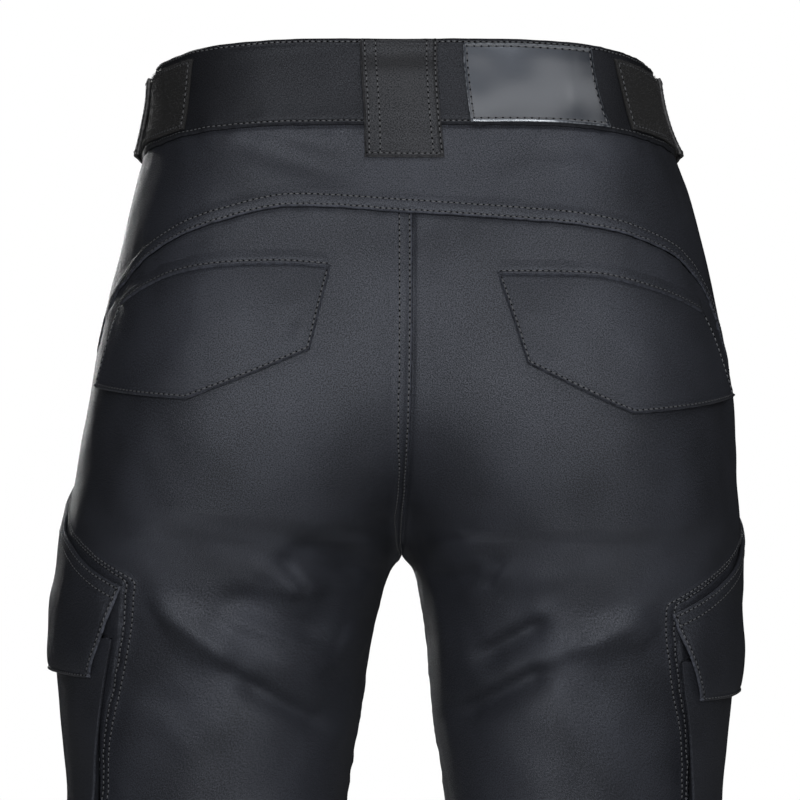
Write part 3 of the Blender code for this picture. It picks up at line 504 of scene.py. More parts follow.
def shader_group(name, inputs, outputs):
    """An empty node group. Inputs are name: default value, outputs are name: socket type."""
    tree = bpy.data.node_groups.new(name, "ShaderNodeTree")
    for label, value in inputs.items():
        kind = "NodeSocketColor" if isinstance(value, tuple) else "NodeSocketFloat"
        tree.interface.new_socket(label, in_out="INPUT", socket_type=kind).default_value = value
    for label, kind in outputs.items():
        tree.interface.new_socket(label, in_out="OUTPUT", socket_type=kind)
    return tree, tree.nodes.new("NodeGroupInput"), tree.nodes.new("NodeGroupOutput")


# %% The weave: speckle, threads both ways and slow patches
def weave_group():
    tree, ins, outs = shader_group(
        "weave",
        {"Dark": (0, 0, 0, 1), "Light": (1, 1, 1, 1), "Threads": 1700.0, "Patches": 14.0},
        {"Colour": "NodeSocketColor", "Height": "NodeSocketFloat"},
    )
    place = add_node(tree, "ShaderNodeTexCoord")
    speckle = add_node(tree, "ShaderNodeTexNoise", Detail=2.0, Roughness=0.8)
    wire(tree, place, "UV", speckle, "Vector")
    wire(tree, ins, "Threads", speckle, "Scale")
    total = speckle.outputs["Fac"]
    for stretch in ((0.55, 1.0, 1.0), (1.0, 0.55, 1.0)):
        along = add_node(tree, "ShaderNodeMapping")
        along.inputs["Scale"].default_value = stretch
        thread = add_node(tree, "ShaderNodeTexNoise", Detail=1.0)
        both = add_node(tree, "ShaderNodeMath", operation="ADD")
        wire(tree, place, "UV", along, "Vector")
        wire(tree, along, "Vector", thread, "Vector")
        wire(tree, ins, "Threads", thread, "Scale")
        tree.links.new(total, both.inputs[0])
        wire(tree, thread, "Fac", both, 1)
        total = both.outputs[0]
    patches = add_node(tree, "ShaderNodeTexNoise", Detail=2.0)
    wire(tree, place, "UV", patches, "Vector")
    wire(tree, ins, "Patches", patches, "Scale")
    slow = add_node(tree, "ShaderNodeMath", operation="MULTIPLY")
    slow.inputs[1].default_value = 0.5
    wire(tree, patches, "Fac", slow, 0)
    mixed = add_node(tree, "ShaderNodeMath", operation="ADD")
    tree.links.new(total, mixed.inputs[0])
    wire(tree, slow, 0, mixed, 1)
    spread = add_node(tree, "ShaderNodeMapRange", **{"From Min": 1.55, "From Max": 1.95})
    tree.links.new(mixed.outputs[0], spread.inputs["Value"])
    tint = add_node(tree, "ShaderNodeMix", data_type="RGBA")
    wire(tree, spread, "Result", tint, 0)
    wire(tree, ins, "Dark", tint, 6)
    wire(tree, ins, "Light", tint, 7)
    tree.links.new(tint.outputs[2], outs.inputs["Colour"])
    tree.links.new(total, outs.inputs["Height"])
    return tree


WEAVE = weave_group()


# %% A painted highlight along the edges, read from each piece's own distance to its edge
def edge_highlight_group():
    tree, ins, outs = shader_group(
        "painted edge highlight", {"Reach": 0.0016, "Patchy": 300.0}, {"Mask": "NodeSocketFloat"}
    )
    edge = add_node(tree, "ShaderNodeAttribute", attribute_name="edge")
    near = add_node(tree, "ShaderNodeMapRange", **{"From Min": 0.0, "To Min": 1.0, "To Max": 0.0})
    wire(tree, edge, "Fac", near, "Value")
    wire(tree, ins, "Reach", near, "From Max")
    place = add_node(tree, "ShaderNodeTexCoord")
    noise = add_node(tree, "ShaderNodeTexNoise", Detail=2.0)
    wire(tree, place, "UV", noise, "Vector")
    wire(tree, ins, "Patchy", noise, "Scale")
    uneven = add_node(tree, "ShaderNodeMapRange", **{"From Min": 0.35, "From Max": 0.65})
    wire(tree, noise, "Fac", uneven, "Value")
    both = add_node(tree, "ShaderNodeMath", operation="MULTIPLY")
    wire(tree, near, "Result", both, 0)
    wire(tree, uneven, "Result", both, 1)
    wire(tree, both, 0, outs, "Mask")
    return tree


EDGE_HIGHLIGHT = edge_highlight_group()


def paint_edge_highlight(tree, colour, colour_socket, shader, highlight_colour, reach, patchy):
    """Mixes a painted highlight, a paler colour, in along the edges of a piece, on the way to the shader."""
    mask = add_node(tree, "ShaderNodeGroup", node_tree=EDGE_HIGHLIGHT)
    mask.inputs["Reach"].default_value = reach
    mask.inputs["Patchy"].default_value = patchy
    mixed = add_node(tree, "ShaderNodeMix", data_type="RGBA")
    wire(tree, mask, "Mask", mixed, 0)
    if colour:
        wire(tree, colour, colour_socket, mixed, 6)
    else:
        mixed.inputs[6].default_value = shader.inputs["Base Color"].default_value
    mixed.inputs[7].default_value = (*highlight_colour, 1)
    tree.links.new(mixed.outputs[2], shader.inputs["Base Color"])


def cloth_material(name, dark, light, roughness, specular, relief, threads=1900.0):
    material = bpy.data.materials.new(name)
    material.use_nodes = True
    tree = material.node_tree
    shader = tree.nodes["Principled BSDF"]
    shader.inputs["Roughness"].default_value = roughness
    shader.inputs["Specular IOR Level"].default_value = specular
    shader.inputs["Specular Tint"].default_value = (0.84, 0.89, 1.0, 1.0)
    weave = add_node(tree, "ShaderNodeGroup", node_tree=WEAVE)
    weave.inputs["Dark"].default_value = (*dark, 1)
    weave.inputs["Light"].default_value = (*light, 1)
    weave.inputs["Threads"].default_value = threads
    bump = add_node(tree, "ShaderNodeBump", Strength=relief, Distance=0.0002)
    # A painted highlight along the panel's edges, 2.2 times the weave's light colour.
    paint_edge_highlight(tree, weave, "Colour", shader, [2.2 * value for value in light], 0.0018, 300.0)
    rough = add_node(tree, "ShaderNodeMapRange", **{"From Min": 1.25, "From Max": 1.75})
    rough.inputs["To Min"].default_value = roughness + 0.14
    rough.inputs["To Max"].default_value = roughness - 0.14
    wire(tree, weave, "Height", rough, "Value")
    wire(tree, rough, "Result", shader, "Roughness")
    wire(tree, weave, "Height", bump, "Height")
    wire(tree, bump, "Normal", shader, "Normal")
    return material


SHELL = cloth_material("shell_cloth", (0.0005, 0.0005, 0.0010), (0.025, 0.027, 0.035), 0.58, 0.50, 1.0)
BAND = cloth_material("band_cloth", (0.0010, 0.0010, 0.0014), (0.011, 0.0115, 0.014), 0.62, 0.30, 0.7)
LOOP = cloth_material("loop_cloth", (0.003, 0.003, 0.0031), (0.026, 0.026, 0.0275), 0.66, 0.35, 0.8)


# %% Leather, thread, loop tape, strap and metal
def plain_material(name, colour, roughness, metallic=0.0):
    material = bpy.data.materials.new(name)
    material.use_nodes = True
    shader = material.node_tree.nodes["Principled BSDF"]
    shader.inputs["Base Color"].default_value = (*colour, 1)
    shader.inputs["Roughness"].default_value = roughness
    shader.inputs["Metallic"].default_value = metallic
    return material, material.node_tree, shader


def grain(material, tree, shader, scale, detail, strength, distance, low, high):
    """Uneven roughness and a fine relief from one noise."""
    place = add_node(tree, "ShaderNodeTexCoord")
    noise = add_node(tree, "ShaderNodeTexNoise", Scale=scale, Detail=detail)
    bump = add_node(tree, "ShaderNodeBump", Strength=strength, Distance=distance)
    rough = add_node(tree, "ShaderNodeMapRange", **{"To Min": low, "To Max": high})
    wire(tree, place, "Object", noise, "Vector")
    wire(tree, noise, "Fac", bump, "Height")
    wire(tree, noise, "Fac", rough, "Value")
    wire(tree, bump, "Normal", shader, "Normal")
    wire(tree, rough, "Result", shader, "Roughness")
    return material


def leather_material():
    material, tree, shader = plain_material("patch_leather", (0.010, 0.011, 0.014), 0.34)
    shader.inputs["Specular IOR Level"].default_value = 0.5
    shader.inputs["Specular Tint"].default_value = (0.84, 0.90, 1.0, 1.0)
    shader.inputs["Coat Weight"].default_value = 0.9
    shader.inputs["Coat Roughness"].default_value = 0.20
    shader.inputs["Coat Tint"].default_value = (0.90, 0.94, 1.0, 1.0)
    # A painted highlight along the cut edges of the patch.
    paint_edge_highlight(tree, None, None, shader, (0.16, 0.165, 0.17), 0.0012, 420.0)
    return grain(material, tree, shader, 900.0, 3.0, 0.25, 0.0002, 0.26, 0.42)


LEATHER = leather_material()
THREAD = grain(*plain_material("thread", (0.055, 0.057, 0.062), 0.5), 1200.0, 1.0, 0.4, 0.0002, 0.40, 0.6)
# Painted shade: near-black beads between the stitches stand for the shade in the needle holes.
HOLE_SHADE = grain(*plain_material("painted_hole_shade", (0.001, 0.001, 0.001), 0.9), 1200.0, 1.0, 0.4, 0.0002, 0.85, 1.0)
HOLE_SHADE.node_tree.nodes["Principled BSDF"].inputs["Specular IOR Level"].default_value = 0.1
TAPE_CLOTH = grain(*plain_material("loop_tape", (0.0015, 0.0015, 0.0017), 0.9), 1400.0, 3.0, 1.0, 0.0006, 0.8, 1.0)
NAP = grain(*plain_material("loop_nap", (0.018, 0.018, 0.0195), 0.55), 900.0, 1.0, 0.1, 0.0001, 0.45, 0.65)


def webbing_material():
    """Ribs a little over a millimetre apart, across the strap."""
    material, tree, shader = plain_material("hook_strap", (0.008, 0.008, 0.009), 0.6)
    place = add_node(tree, "ShaderNodeTexCoord")
    ribs = add_node(tree, "ShaderNodeTexWave", Scale=240.0, Distortion=0.6, Detail=1.0)
    bump = add_node(tree, "ShaderNodeBump", Strength=1.0, Distance=0.0005)
    wire(tree, place, "UV", ribs, "Vector")
    wire(tree, ribs, "Fac", bump, "Height")
    wire(tree, bump, "Normal", shader, "Normal")
    # A painted highlight along the edges of the strap.
    paint_edge_highlight(tree, None, None, shader, (0.05, 0.05, 0.052), 0.0014, 500.0)
    return material


STRAP = webbing_material()
METAL = grain(*plain_material("snap_metal", (0.07, 0.07, 0.073), 0.35, 1.0), 500.0, 2.0, 0.2, 0.0001, 0.28, 0.45)
print("materials:", ", ".join(m.name for m in bpy.data.materials))

# %% [markdown]
# ## A panel of cloth
#
# A panel starts as a flat grid of cells. Its rows and columns close up towards the edges, where the rolled
# seams need them. Each vertex is then moved to its place on the form, pushed out by the ridge that the seam
# allowance makes under the topstitching, and a Solidify modifier gives the cloth its thickness. A grid that
# is bent keeps its faces four-sided and in rows, which an unwrapped or sculpted mesh would not.

# %% Grids that close up at their edges
EDGE_STEPS = (0.0, 0.0003, 0.0007, 0.0012, 0.0018, 0.0024, 0.0031, 0.0042, 0.0055, 0.0068, 0.0078, 0.0090, 0.0110)
CELL = 0.0042


def spaced(length, start=True, end=True, cell=CELL):
    """Places from 0 to 1 along a run of this length, close together at the ends that are asked for."""
    steps = np.array([step for step in EDGE_STEPS if step < 0.42 * length])
    low = steps if start else steps[:1]
    high = length - (steps if end else steps[:1])[::-1]
    count = max(2, round((high[0] - low[-1]) / cell))
    middle = np.linspace(low[-1], high[0], count + 1)[1:-1]
    return np.concatenate([low, middle, high]) / length


def edge_distances(points):
    """How far each point of a grid lies from its four edges, along the grid's own lines."""
    down, across = run_length(points), run_length(points.transpose(1, 0, 2)).T
    return {"top": down, "foot": down[-1] - down, "start": across, "end": across[:, -1:] - across}


def groove(distance, at, width=0.0007):
    return np.exp(-(((distance - at) / width) ** 2))


# %% What each kind of edge does to the cloth beside it
TWIN_NEAR, TWIN_FAR = 0.0021, 0.0082
TURNED_STITCH = 0.0029


def edge_rise(kind, distance):
    """How far the cloth rises at a distance from an edge of this kind."""
    roll = 1 - smoothstep(distance / 0.0014)
    if kind == "over":
        plateau = 0.0008 * (1 - smoothstep((distance - TWIN_FAR - 0.0004) / 0.0022))
        stitched = 0.0006 * (groove(distance, TWIN_NEAR, 0.0009) + groove(distance, TWIN_FAR, 0.0009))
        crest = 0.0004 * groove(distance, 0.0009, 0.0006)
        return plateau + crest - stitched - 0.0011 * roll
    if kind == "under":
        return -0.0010 * (1 - smoothstep(distance / 0.0030))
    if kind == "hem":
        return 0.0005 * (1 - smoothstep((distance - 0.024) / 0.002)) - 0.0008 * roll
    if kind == "turned":
        crest = 0.0005 * groove(distance, 0.0013, 0.0009)
        return crest - 0.0005 * groove(distance, TURNED_STITCH, 0.0008) - 0.0012 * roll
    return -0.0004 * (1 - smoothstep(distance / 0.0016))


def pucker(points, distance, size=0.00028, reach=0.010):
    """Short ripples that the thread draws up beside a seam."""
    ripple = np.zeros(distance.shape)
    for scale, way in ((470.0, (1.0, 0.3, 0.35)), (700.0, (0.6, 0.9, -0.4)), (330.0, (-0.3, 0.5, 1.0))):
        ripple += np.sin(scale * (points @ unit(np.array(way))) + 3 * np.sin(90 * points[..., 2]))
    return size * ripple * np.exp(-distance / reach)


# %% The panel itself
COLLECTION = bpy.context.scene.collection
CLOTH_GRIDS = {}


# The kinds of edge that get the painted highlight.
HIGHLIGHTED_KINDS = ("over", "turned", "hem", "cut")


def bend_grid(name, points, outwards, edges):
    """A flat grid whose vertices are moved to the points, with a UV map in metres along the cloth."""
    rows, columns = points.shape[0] - 1, points.shape[1] - 1
    bm = bmesh.new()
    bmesh.ops.create_grid(bm, x_segments=columns, y_segments=rows, size=0.5)
    bmesh.ops.scale(bm, vec=(columns, rows, 1), verts=bm.verts)
    bmesh.ops.translate(bm, vec=(columns / 2, rows / 2, 0), verts=bm.verts)
    facing = np.cross(np.gradient(points, axis=1), np.gradient(points, axis=0))
    if (facing * outwards).sum() < 0:
        bmesh.ops.reverse_faces(bm, faces=bm.faces)
    mesh = bpy.data.meshes.new(name)
    bm.to_mesh(mesh)
    bm.free()
    flat = np.zeros(len(mesh.vertices) * 3, np.float32)
    mesh.vertices.foreach_get("co", flat)
    c, r = flat.reshape(-1, 3)[:, :2].round().astype(int).T
    mesh.vertices.foreach_set("co", points[r, c].astype(np.float32).ravel())
    across = run_length(points.transpose(1, 0, 2)).T
    laid_out = np.stack([across - across[:, across.shape[1] // 2][:, None], -run_length(points)], axis=-1)
    corners = np.zeros(len(mesh.loops), int)
    mesh.loops.foreach_get("vertex_index", corners)
    mesh.uv_layers.new(name="cloth").data.foreach_set("uv", laid_out[r, c][corners].ravel())
    nearest = np.full(points.shape[:2], 1.0)
    for edge, distance in edge_distances(points).items():
        if edges.get(edge) in HIGHLIGHTED_KINDS:
            nearest = np.minimum(nearest, distance)
    mesh.attributes.new("edge", "FLOAT", "POINT").data.foreach_set("value", nearest[r, c].astype(np.float32))
    mesh.shade_smooth()
    mesh.update()
    return mesh


def sheet_size(points):
    """The largest width and length of a grid of cloth and its area, laid flat."""
    across = run_length(points.transpose(1, 0, 2))[-1].max()
    down = run_length(points)[-1].max()
    cells = np.cross(points[1:, 1:] - points[:-1, :-1], points[1:, :-1] - points[:-1, 1:])
    return float(across), float(down), float(np.linalg.norm(cells, axis=2).sum() / 2)


def cloth(name, points, normals, material, wall, edges, node=None):
    """A finished sheet of cloth on the given points. It stands for its solid and rides with it."""
    mesh = bend_grid(name, points, normals, edges)
    mesh.materials.append(material)
    piece = bpy.data.objects.new(name, mesh)
    COLLECTION.objects.link(piece)
    thick = piece.modifiers.new("wall", "SOLIDIFY")
    thick.thickness = wall
    thick.offset = -1
    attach(piece, "root")
    if node:
        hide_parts(node)
    width, length, area = sheet_size(points)
    area = min(area, width * length)
    own = unit(np.cross(np.gradient(points, axis=1), np.gradient(points, axis=0)))
    own *= np.sign((own * normals).sum())
    CLOTH_GRIDS[name] = (points, own)
    return piece


def panel(name, node, share, depth, material, edges, wall=WALL, proud=0.0):
    """A sewn panel. edges names the kind of each of its four edges."""
    points, normals = form(share, depth)
    apart = edge_distances(points)
    rise = np.full(points.shape[:2], proud)
    nearest = np.full(points.shape[:2], np.inf)
    for edge, kind in edges.items():
        rise += edge_rise(kind, apart[edge])
        nearest = np.minimum(nearest, apart[edge])
    rise += pucker(points, nearest)
    return cloth(name, points + rise[..., None] * normals, normals, material, wall, edges, node)


# %% [markdown]
# ## Legs, side panels and yoke
#
# The back is cut in two legs that meet in a felled centre seam, with a yoke above them that is one piece
# from side to side. The seam between them curves down towards the side seams. A side panel with a peaked top
# is let into each leg and carries the cargo pocket. Its edges come from the same short tables as the solids.

# %% Where the panels end
PANEL_TOP = {-1: (0.240, 0.298), 1: (0.258, 0.312)}
PANEL_REAR = ((0.29, 0.322), (0.35, 0.352), (0.40, 0.385), (0.45, 0.400), (1.07, 0.410))
PANEL_FRONT = ((0.29, 0.675), (0.35, 0.675), (0.45, 0.690), (1.07, 0.690))
YOKE_SEAM = {
    -1: ((0.00, 0.100), (0.13, 0.097), (0.21, 0.103), (0.31, 0.118), (0.39, 0.139), (0.53, 0.180)),
    1: ((0.00, 0.100), (0.12, 0.104), (0.24, 0.110), (0.35, 0.129), (0.42, 0.160), (0.53, 0.198)),
}
HALF_GIRTH = 0.44
WORDS = {-1: "left", 1: "right"}


def side_edges(side, depth):
    """Shares of the two edges of the side panel: they part at its peak and run down from its corners."""
    peak, corner = PANEL_TOP[side]
    open_up = np.clip((depth - peak) / (corner - peak), 0, 1)
    rear, front = curve(PANEL_REAR, depth), curve(PANEL_FRONT, depth)
    return SIDE_SHARE + (rear - SIDE_SHARE) * open_up, SIDE_SHARE + (front - SIDE_SHARE) * open_up


def rows_between(top, foot, **ends):
    return top + (foot - top) * spaced(foot - top, **ends)


# %% The legs
FINE_DEPTH = 0.480


def back_leg(side):
    across = spaced(SIDE_SHARE * HALF_GIRTH, cell=0.0032)
    seam = curve(YOKE_SEAM[side], SIDE_SHARE * across)
    top, peak = seam[-1], PANEL_TOP[side][0]
    thigh = rows_between(top, FINE_DEPTH, end=False, cell=0.0030)
    depths = np.concatenate([thigh[:-1], rows_between(FINE_DEPTH, HEM_DEPTH, start=False, cell=0.0056)])
    share = side_edges(side, depths)[0][:, None] * across[None, :]
    fade = np.clip((peak - depths) / (peak - top), 0, 1)[:, None]
    depth = depths[:, None] + (seam - top)[None, :] * fade
    edges = {"top": "under", "start": "over" if side < 0 else "under", "end": "over", "foot": "hem"}
    word = WORDS[side]
    return panel(f"cloth_back_leg_{word}", f"back_leg_{word}", side * share, depth, SHELL, edges)


def front_leg(side):
    across = spaced((1 - SIDE_SHARE) * HALF_GIRTH)
    depths = rows_between(BAND_HEIGHT, HEM_DEPTH, cell=0.0052)
    edge = side_edges(side, depths)[1]
    share = edge[:, None] + (1 - edge[:, None]) * across[None, :]
    depth = np.broadcast_to(depths[:, None], share.shape)
    edges = {"top": "under", "start": "over", "end": "over" if side < 0 else "under", "foot": "hem"}
    word = WORDS[side]
    return panel(f"cloth_front_leg_{word}", f"front_leg_{word}", side * share, depth, SHELL, edges)


def side_panel(side):
    """Its rows fan out from the peaked top, level out below it and run down to the hem."""
    peak, corner = PANEL_TOP[side]
    half = spaced(0.078, end=False)
    half = half / half[-1]
    across = np.concatenate([half, (2 - half[::-1])[1:]]) / 2
    climb = corner + (peak - corner) * (1 - abs(2 * across - 1))
    rear, front = side_edges(side, climb)
    top_share = np.where(across < 0.5, rear, front)
    level = corner + 0.055
    fan = spaced(level - peak, end=False)[:, None]
    rear, front = side_edges(side, level)
    share = top_share + (rear + (front - rear) * across - top_share) * fan
    depth = climb + (level - climb) * fan
    depths = rows_between(level, HEM_DEPTH, start=False, cell=0.0052)[1:]
    rear, front = side_edges(side, depths)
    share = np.concatenate([share, rear[:, None] + (front - rear)[:, None] * across])
    depth = np.concatenate([depth, np.broadcast_to(depths[:, None], (len(depths), len(across)))])
    edges = {"top": "under", "start": "under", "end": "under", "foot": "hem"}
    word = WORDS[side]
    return panel(f"cloth_side_panel_{word}", f"side_panel_{word}", side * share, depth, SHELL, edges)


for side in (-1, 1):
    for build in (back_leg, front_leg, side_panel):
        piece = build(side)
        print(piece.name, len(piece.data.polygons), "cells")


# %% The yoke
def yoke():
    right = SIDE_SHARE * spaced(SIDE_SHARE * HALF_GIRTH, start=False)
    share = np.concatenate([-right[:0:-1], right])
    seam = np.where(share < 0, curve(YOKE_SEAM[-1], abs(share)), curve(YOKE_SEAM[1], abs(share)))
    down = spaced(0.050)[:, None]
    depth = BAND_HEIGHT + (seam - BAND_HEIGHT) * down
    edges = {"top": "under", "start": "over", "end": "over", "foot": "over"}
    return panel("cloth_yoke", "yoke", np.broadcast_to(share, depth.shape), depth, SHELL, edges)


print(yoke().name)


# %% The waistband
def waistband(name, node, share, edges):
    depth = BAND_HEIGHT * spaced(BAND_HEIGHT)[:, None]
    share = np.broadcast_to(share, (len(depth), len(share)))
    return panel(name, node, share, np.broadcast_to(depth, share.shape), BAND, edges, BAND_WALL, BAND_PROUD)


back_shares = SIDE_SHARE * spaced(SIDE_SHARE * HALF_GIRTH, start=False)
back_shares = np.concatenate([-back_shares[:0:-1], back_shares])
ends = {"top": "turned", "foot": "turned", "start": "plain", "end": "plain"}
waistband("cloth_waistband_back", "waistband_back", back_shares, ends)
for side in (-1, 1):
    shares = SIDE_SHARE + (1 - SIDE_SHARE) * spaced((1 - SIDE_SHARE) * HALF_GIRTH)
    waistband(f"cloth_waistband_front_{WORDS[side]}", f"waistband_front_{WORDS[side]}", side * shares, ends)
print("waistband done")

# %% [markdown]
# ## Pieces laid on the cloth
#
# Flaps, loops, tapes and pouches are sewn on top. They could be boxes that are pushed against the form, but
# they would cut through it where it curves. So each is another grid on the same form, lifted by how far it
# stands off: next to nothing where it is sewn, and some millimetres where it hangs free.

# %% A piece laid on top
SEAT_GAP = 0.0007
FACET_ROOM = 0.0003
ON_BAND = BAND_PROUD + SEAT_GAP


def overlay(name, node, share, depth, under, material, edges, wall=WALL, folds=()):
    """under is how far the piece's underside stands off the form at each point of its grid."""
    points, normals = form(share, depth)
    apart = edge_distances(points)
    rise = under + wall
    for edge, kind in edges.items():
        rise = rise + edge_rise(kind, apart[edge])
    if folds:
        rise = rise + fold_heights(points, normals, folds)
    return cloth(name, points + rise[..., None] * normals, normals, material, wall, edges, node)


def crossing(start, end, steps):
    """Grid rows that run from one row of values to another. steps are places from 0 to 1."""
    start, end = np.asarray(start, float), np.asarray(end, float)
    return start + (end - start) * steps[:, None]


# %% The back pocket flaps, and the lips of cloth above them
FLAP_CORNERS = {
    -1: (
        ((-0.043, -0.118), (-0.080, -0.116), (-0.133, -0.1215), (-0.167, -0.139)),
        ((-0.0555, -0.166), (-0.1235, -0.1935), (-0.176, -0.1875)),
    ),
    1: (
        ((0.0505, -0.122), (0.094, -0.1225), (0.131, -0.128), (0.172, -0.1435)),
        ((0.068, -0.1735), (0.1265, -0.2015), (0.185, -0.193)),
    ),
}
FLAP_APEX = 0.6
FLAP_WALL = 0.0018
FLAP_UNDER = ((0, -0.0017), (0.12, -0.0005), (0.40, 0.0014), (0.75, 0.0034), (1, 0.0046))
TOP_STATIONS, FOOT_STATIONS = (0, 0.28, 0.68, 1), (0, FLAP_APEX, 1)
FLAP_DENTS = (
    (-1, -0.0600, -0.141, -0.0700, -0.1640, 0.0042, -0.0011, 0.3, 0.0),
    (-1, -0.1200, -0.150, -0.1300, -0.1800, 0.0080, 0.0008, 0.0, 0.0),
    (-1, 0.0700, -0.146, 0.0850, -0.1720, 0.0050, -0.0009, 0.3, 0.0),
    (-1, 0.1250, -0.150, 0.1350, -0.1850, 0.0090, 0.0008, 0.0, 0.0),
)


def flap_lines(side):
    return [np.array([seen(-1, x, z) for x, z in line]) for line in FLAP_CORNERS[side]]


def curve_through(at, stations, values):
    return curve(list(zip(stations, values)), at)


def back_flap(side):
    top, foot = flap_lines(side)
    across = spaced(0.125, cell=0.0032)
    across[np.argmin(abs(across - FLAP_APEX))] = FLAP_APEX
    down = spaced(0.060, start=False, cell=0.0032)
    ends = []
    for line, stations in ((top, TOP_STATIONS), (foot, FOOT_STATIONS)):
        between = curve_through if line is top else np.interp
        ends.append([between(across, stations, line[:, k]) for k in (0, 1)])
    share, depth = (crossing(ends[0][k], ends[1][k], down) for k in (0, 1))
    under = np.broadcast_to(curve(FLAP_UNDER, down)[:, None], share.shape)
    edges = {"foot": "turned", "start": "turned", "end": "turned"}
    word = WORDS[side]
    return overlay(
        f"cloth_pocket_flap_{word}", f"pocket_flap_{word}", share, depth, under, SHELL, edges, FLAP_WALL,
        FLAP_DENTS,
    )


LIP_WIDTH = 0.013
LIP_HEIGHT = 0.0014
LIP_SINK = 0.0003
LIP_REACH = 0.0010


def lip(name, line, towards, width=LIP_WIDTH):
    """A rolled edge of the leg's cloth along a line of shares and depths. Its far side sinks into the leg."""
    line, towards = np.asarray(line), np.asarray(towards)
    steps = spaced(width, end=False, cell=0.0012)
    share = crossing(line[:, 0], line[:, 0] + towards[0], steps)
    depth = crossing(line[:, 1], line[:, 1] + towards[1], steps)
    points, normals = form(share, depth)
    away = run_length(points)
    along = run_length(points.transpose(1, 0, 2)).T
    ends = np.minimum(along, along[:, -1:] - along)
    rise = (LIP_HEIGHT + LIP_SINK) * (1 - smoothstep(away / width)) * smoothstep(ends / 0.005)
    rise += edge_rise("turned", away) - LIP_SINK
    return cloth(name, points + rise[..., None] * normals, normals, SHELL, 0.0012, {"top": "turned"})


for side in (-1, 1):
    back_flap(side)
    top, foot = flap_lines(side)
    at = np.linspace(0, 1, 70)
    mouth = np.stack([curve_through(at, TOP_STATIONS, top[:, k]) for k in (0, 1)], axis=1) + (0, LIP_REACH)
    lip(f"pocket_lip_{WORDS[side]}", mouth, (0, -LIP_WIDTH))
print("back pockets done")


# %% Belt loops
LOOP_STAND = 0.0084


def half_girth(depth):
    points, _ = form(np.linspace(0, 1, 97), np.full(97, depth))
    return float(run_length(points)[-1])


def belt_loop(name, node, side, from_front, offset, width, foot, material):
    """A strap sewn down at both ends. Its middle is measured along the cloth from the centre."""
    down = spaced(foot, cell=0.0030)
    rows = 0.0006 + (foot - 0.0006) * down
    girths = np.interp(rows, (0, foot), (half_girth(0), half_girth(foot)))
    reach = offset + width * (spaced(width, cell=0.0030) - 0.5)
    share = reach[None, :] / girths[:, None]
    if from_front:
        share = side * (1 - share)
    stations = (
        (0.00, ON_BAND),
        (0.12, ON_BAND),
        (0.32, LOOP_STAND - 0.002),
        (0.64, LOOP_STAND - 0.002),
        (0.90, SEAT_GAP + 0.0007),
        (1.00, SEAT_GAP + 0.0007),
    )
    under = np.broadcast_to(curve(stations, rows / foot)[:, None], share.shape)
    edges = {"top": "turned", "foot": "turned", "start": "turned", "end": "turned"}
    depth = np.broadcast_to(rows[:, None], share.shape)
    return overlay(name, node, share, depth, under, material, edges, 0.0022)


belt_loop("cloth_belt_loop_back", "belt_loop_back", 1, False, -0.003, 0.046, 0.071, LOOP)
for side in (-1, 1):
    word = WORDS[side]
    belt_loop(f"cloth_belt_loop_front_{word}", f"belt_loop_front_{word}", side, True, 0.062, 0.020, 0.066, LOOP)
print("belt loops done")


# %% Waist pieces: patch, loop tape, hook straps and the closing
PATCH = (0.079, 0.2485, 0.003, 0.0505)
PATCH_WALL = 0.0016
PATCH_FLARE = 0.0018
TAPE = (0.288, 0.555, 0.006, 0.048)
TAPE_WALL = 0.0014
TAB = (0.492, 0.745, 0.002, 0.0485)
TAB_STAND = 0.0035
CLOSING_TAB = (0.925, 1.075, 0.004, 0.047)


def patchwork(extent, cell=0.0025):
    start, end, top, foot = extent
    across = spaced((end - start) * HALF_GIRTH * 0.82, cell=cell)
    down = spaced(foot - top, cell=cell)
    return np.meshgrid(start + (end - start) * across, top + (foot - top) * down)


def waist_piece(name, node, side, extent, under, material, kind, wall, flare=0.0):
    """flare is how far the foot of the piece curls out."""
    share, depth = patchwork(extent)
    edges = dict.fromkeys(("top", "foot", "start", "end"), kind)
    down = (depth - extent[2]) / (extent[3] - extent[2])
    under = under + flare * np.clip((down - 0.35) / 0.65, 0, 1) ** 2
    return overlay(name, node, side * share, depth, under, material, edges, wall)


waist_piece("leather_patch", "patch", 1, PATCH, ON_BAND, LEATHER, "cut", PATCH_WALL, PATCH_FLARE)
waist_piece("cloth_waist_tab", "waist_tab", -1, CLOSING_TAB, ON_BAND, BAND, "turned", WALL)
for side in (-1, 1):
    word = WORDS[side]
    waist_piece(f"cloth_loop_tape_{word}", f"loop_tape_{word}", side, TAPE, ON_BAND, TAPE_CLOTH, "cut", TAPE_WALL)
    share, depth = patchwork(TAB)
    start, end = TAB[:2]
    over_tape = ON_BAND + SEAT_GAP + TAPE_WALL + FACET_ROOM
    stations = (
        (start, BAND_PROUD + TAB_STAND),
        (start + 0.03, over_tape + 0.0018),
        (TAPE[1] - 0.01, over_tape),
        (TAPE[1] + 0.02, over_tape),
        (TAPE[1] + 0.07, ON_BAND + FACET_ROOM),
        (end, ON_BAND + FACET_ROOM),
    )
    edges = dict.fromkeys(("top", "foot", "start", "end"), "cut")
    overlay(
        f"strap_{word}", f"adjuster_tab_{word}", side * share, depth, curve(stations, share), STRAP, edges
    )
print("waist pieces done")


# %% The fly and its press stud
FLY = (0.908, 1.012, 0.0525, 0.172)
FLY_WALL = 0.0014


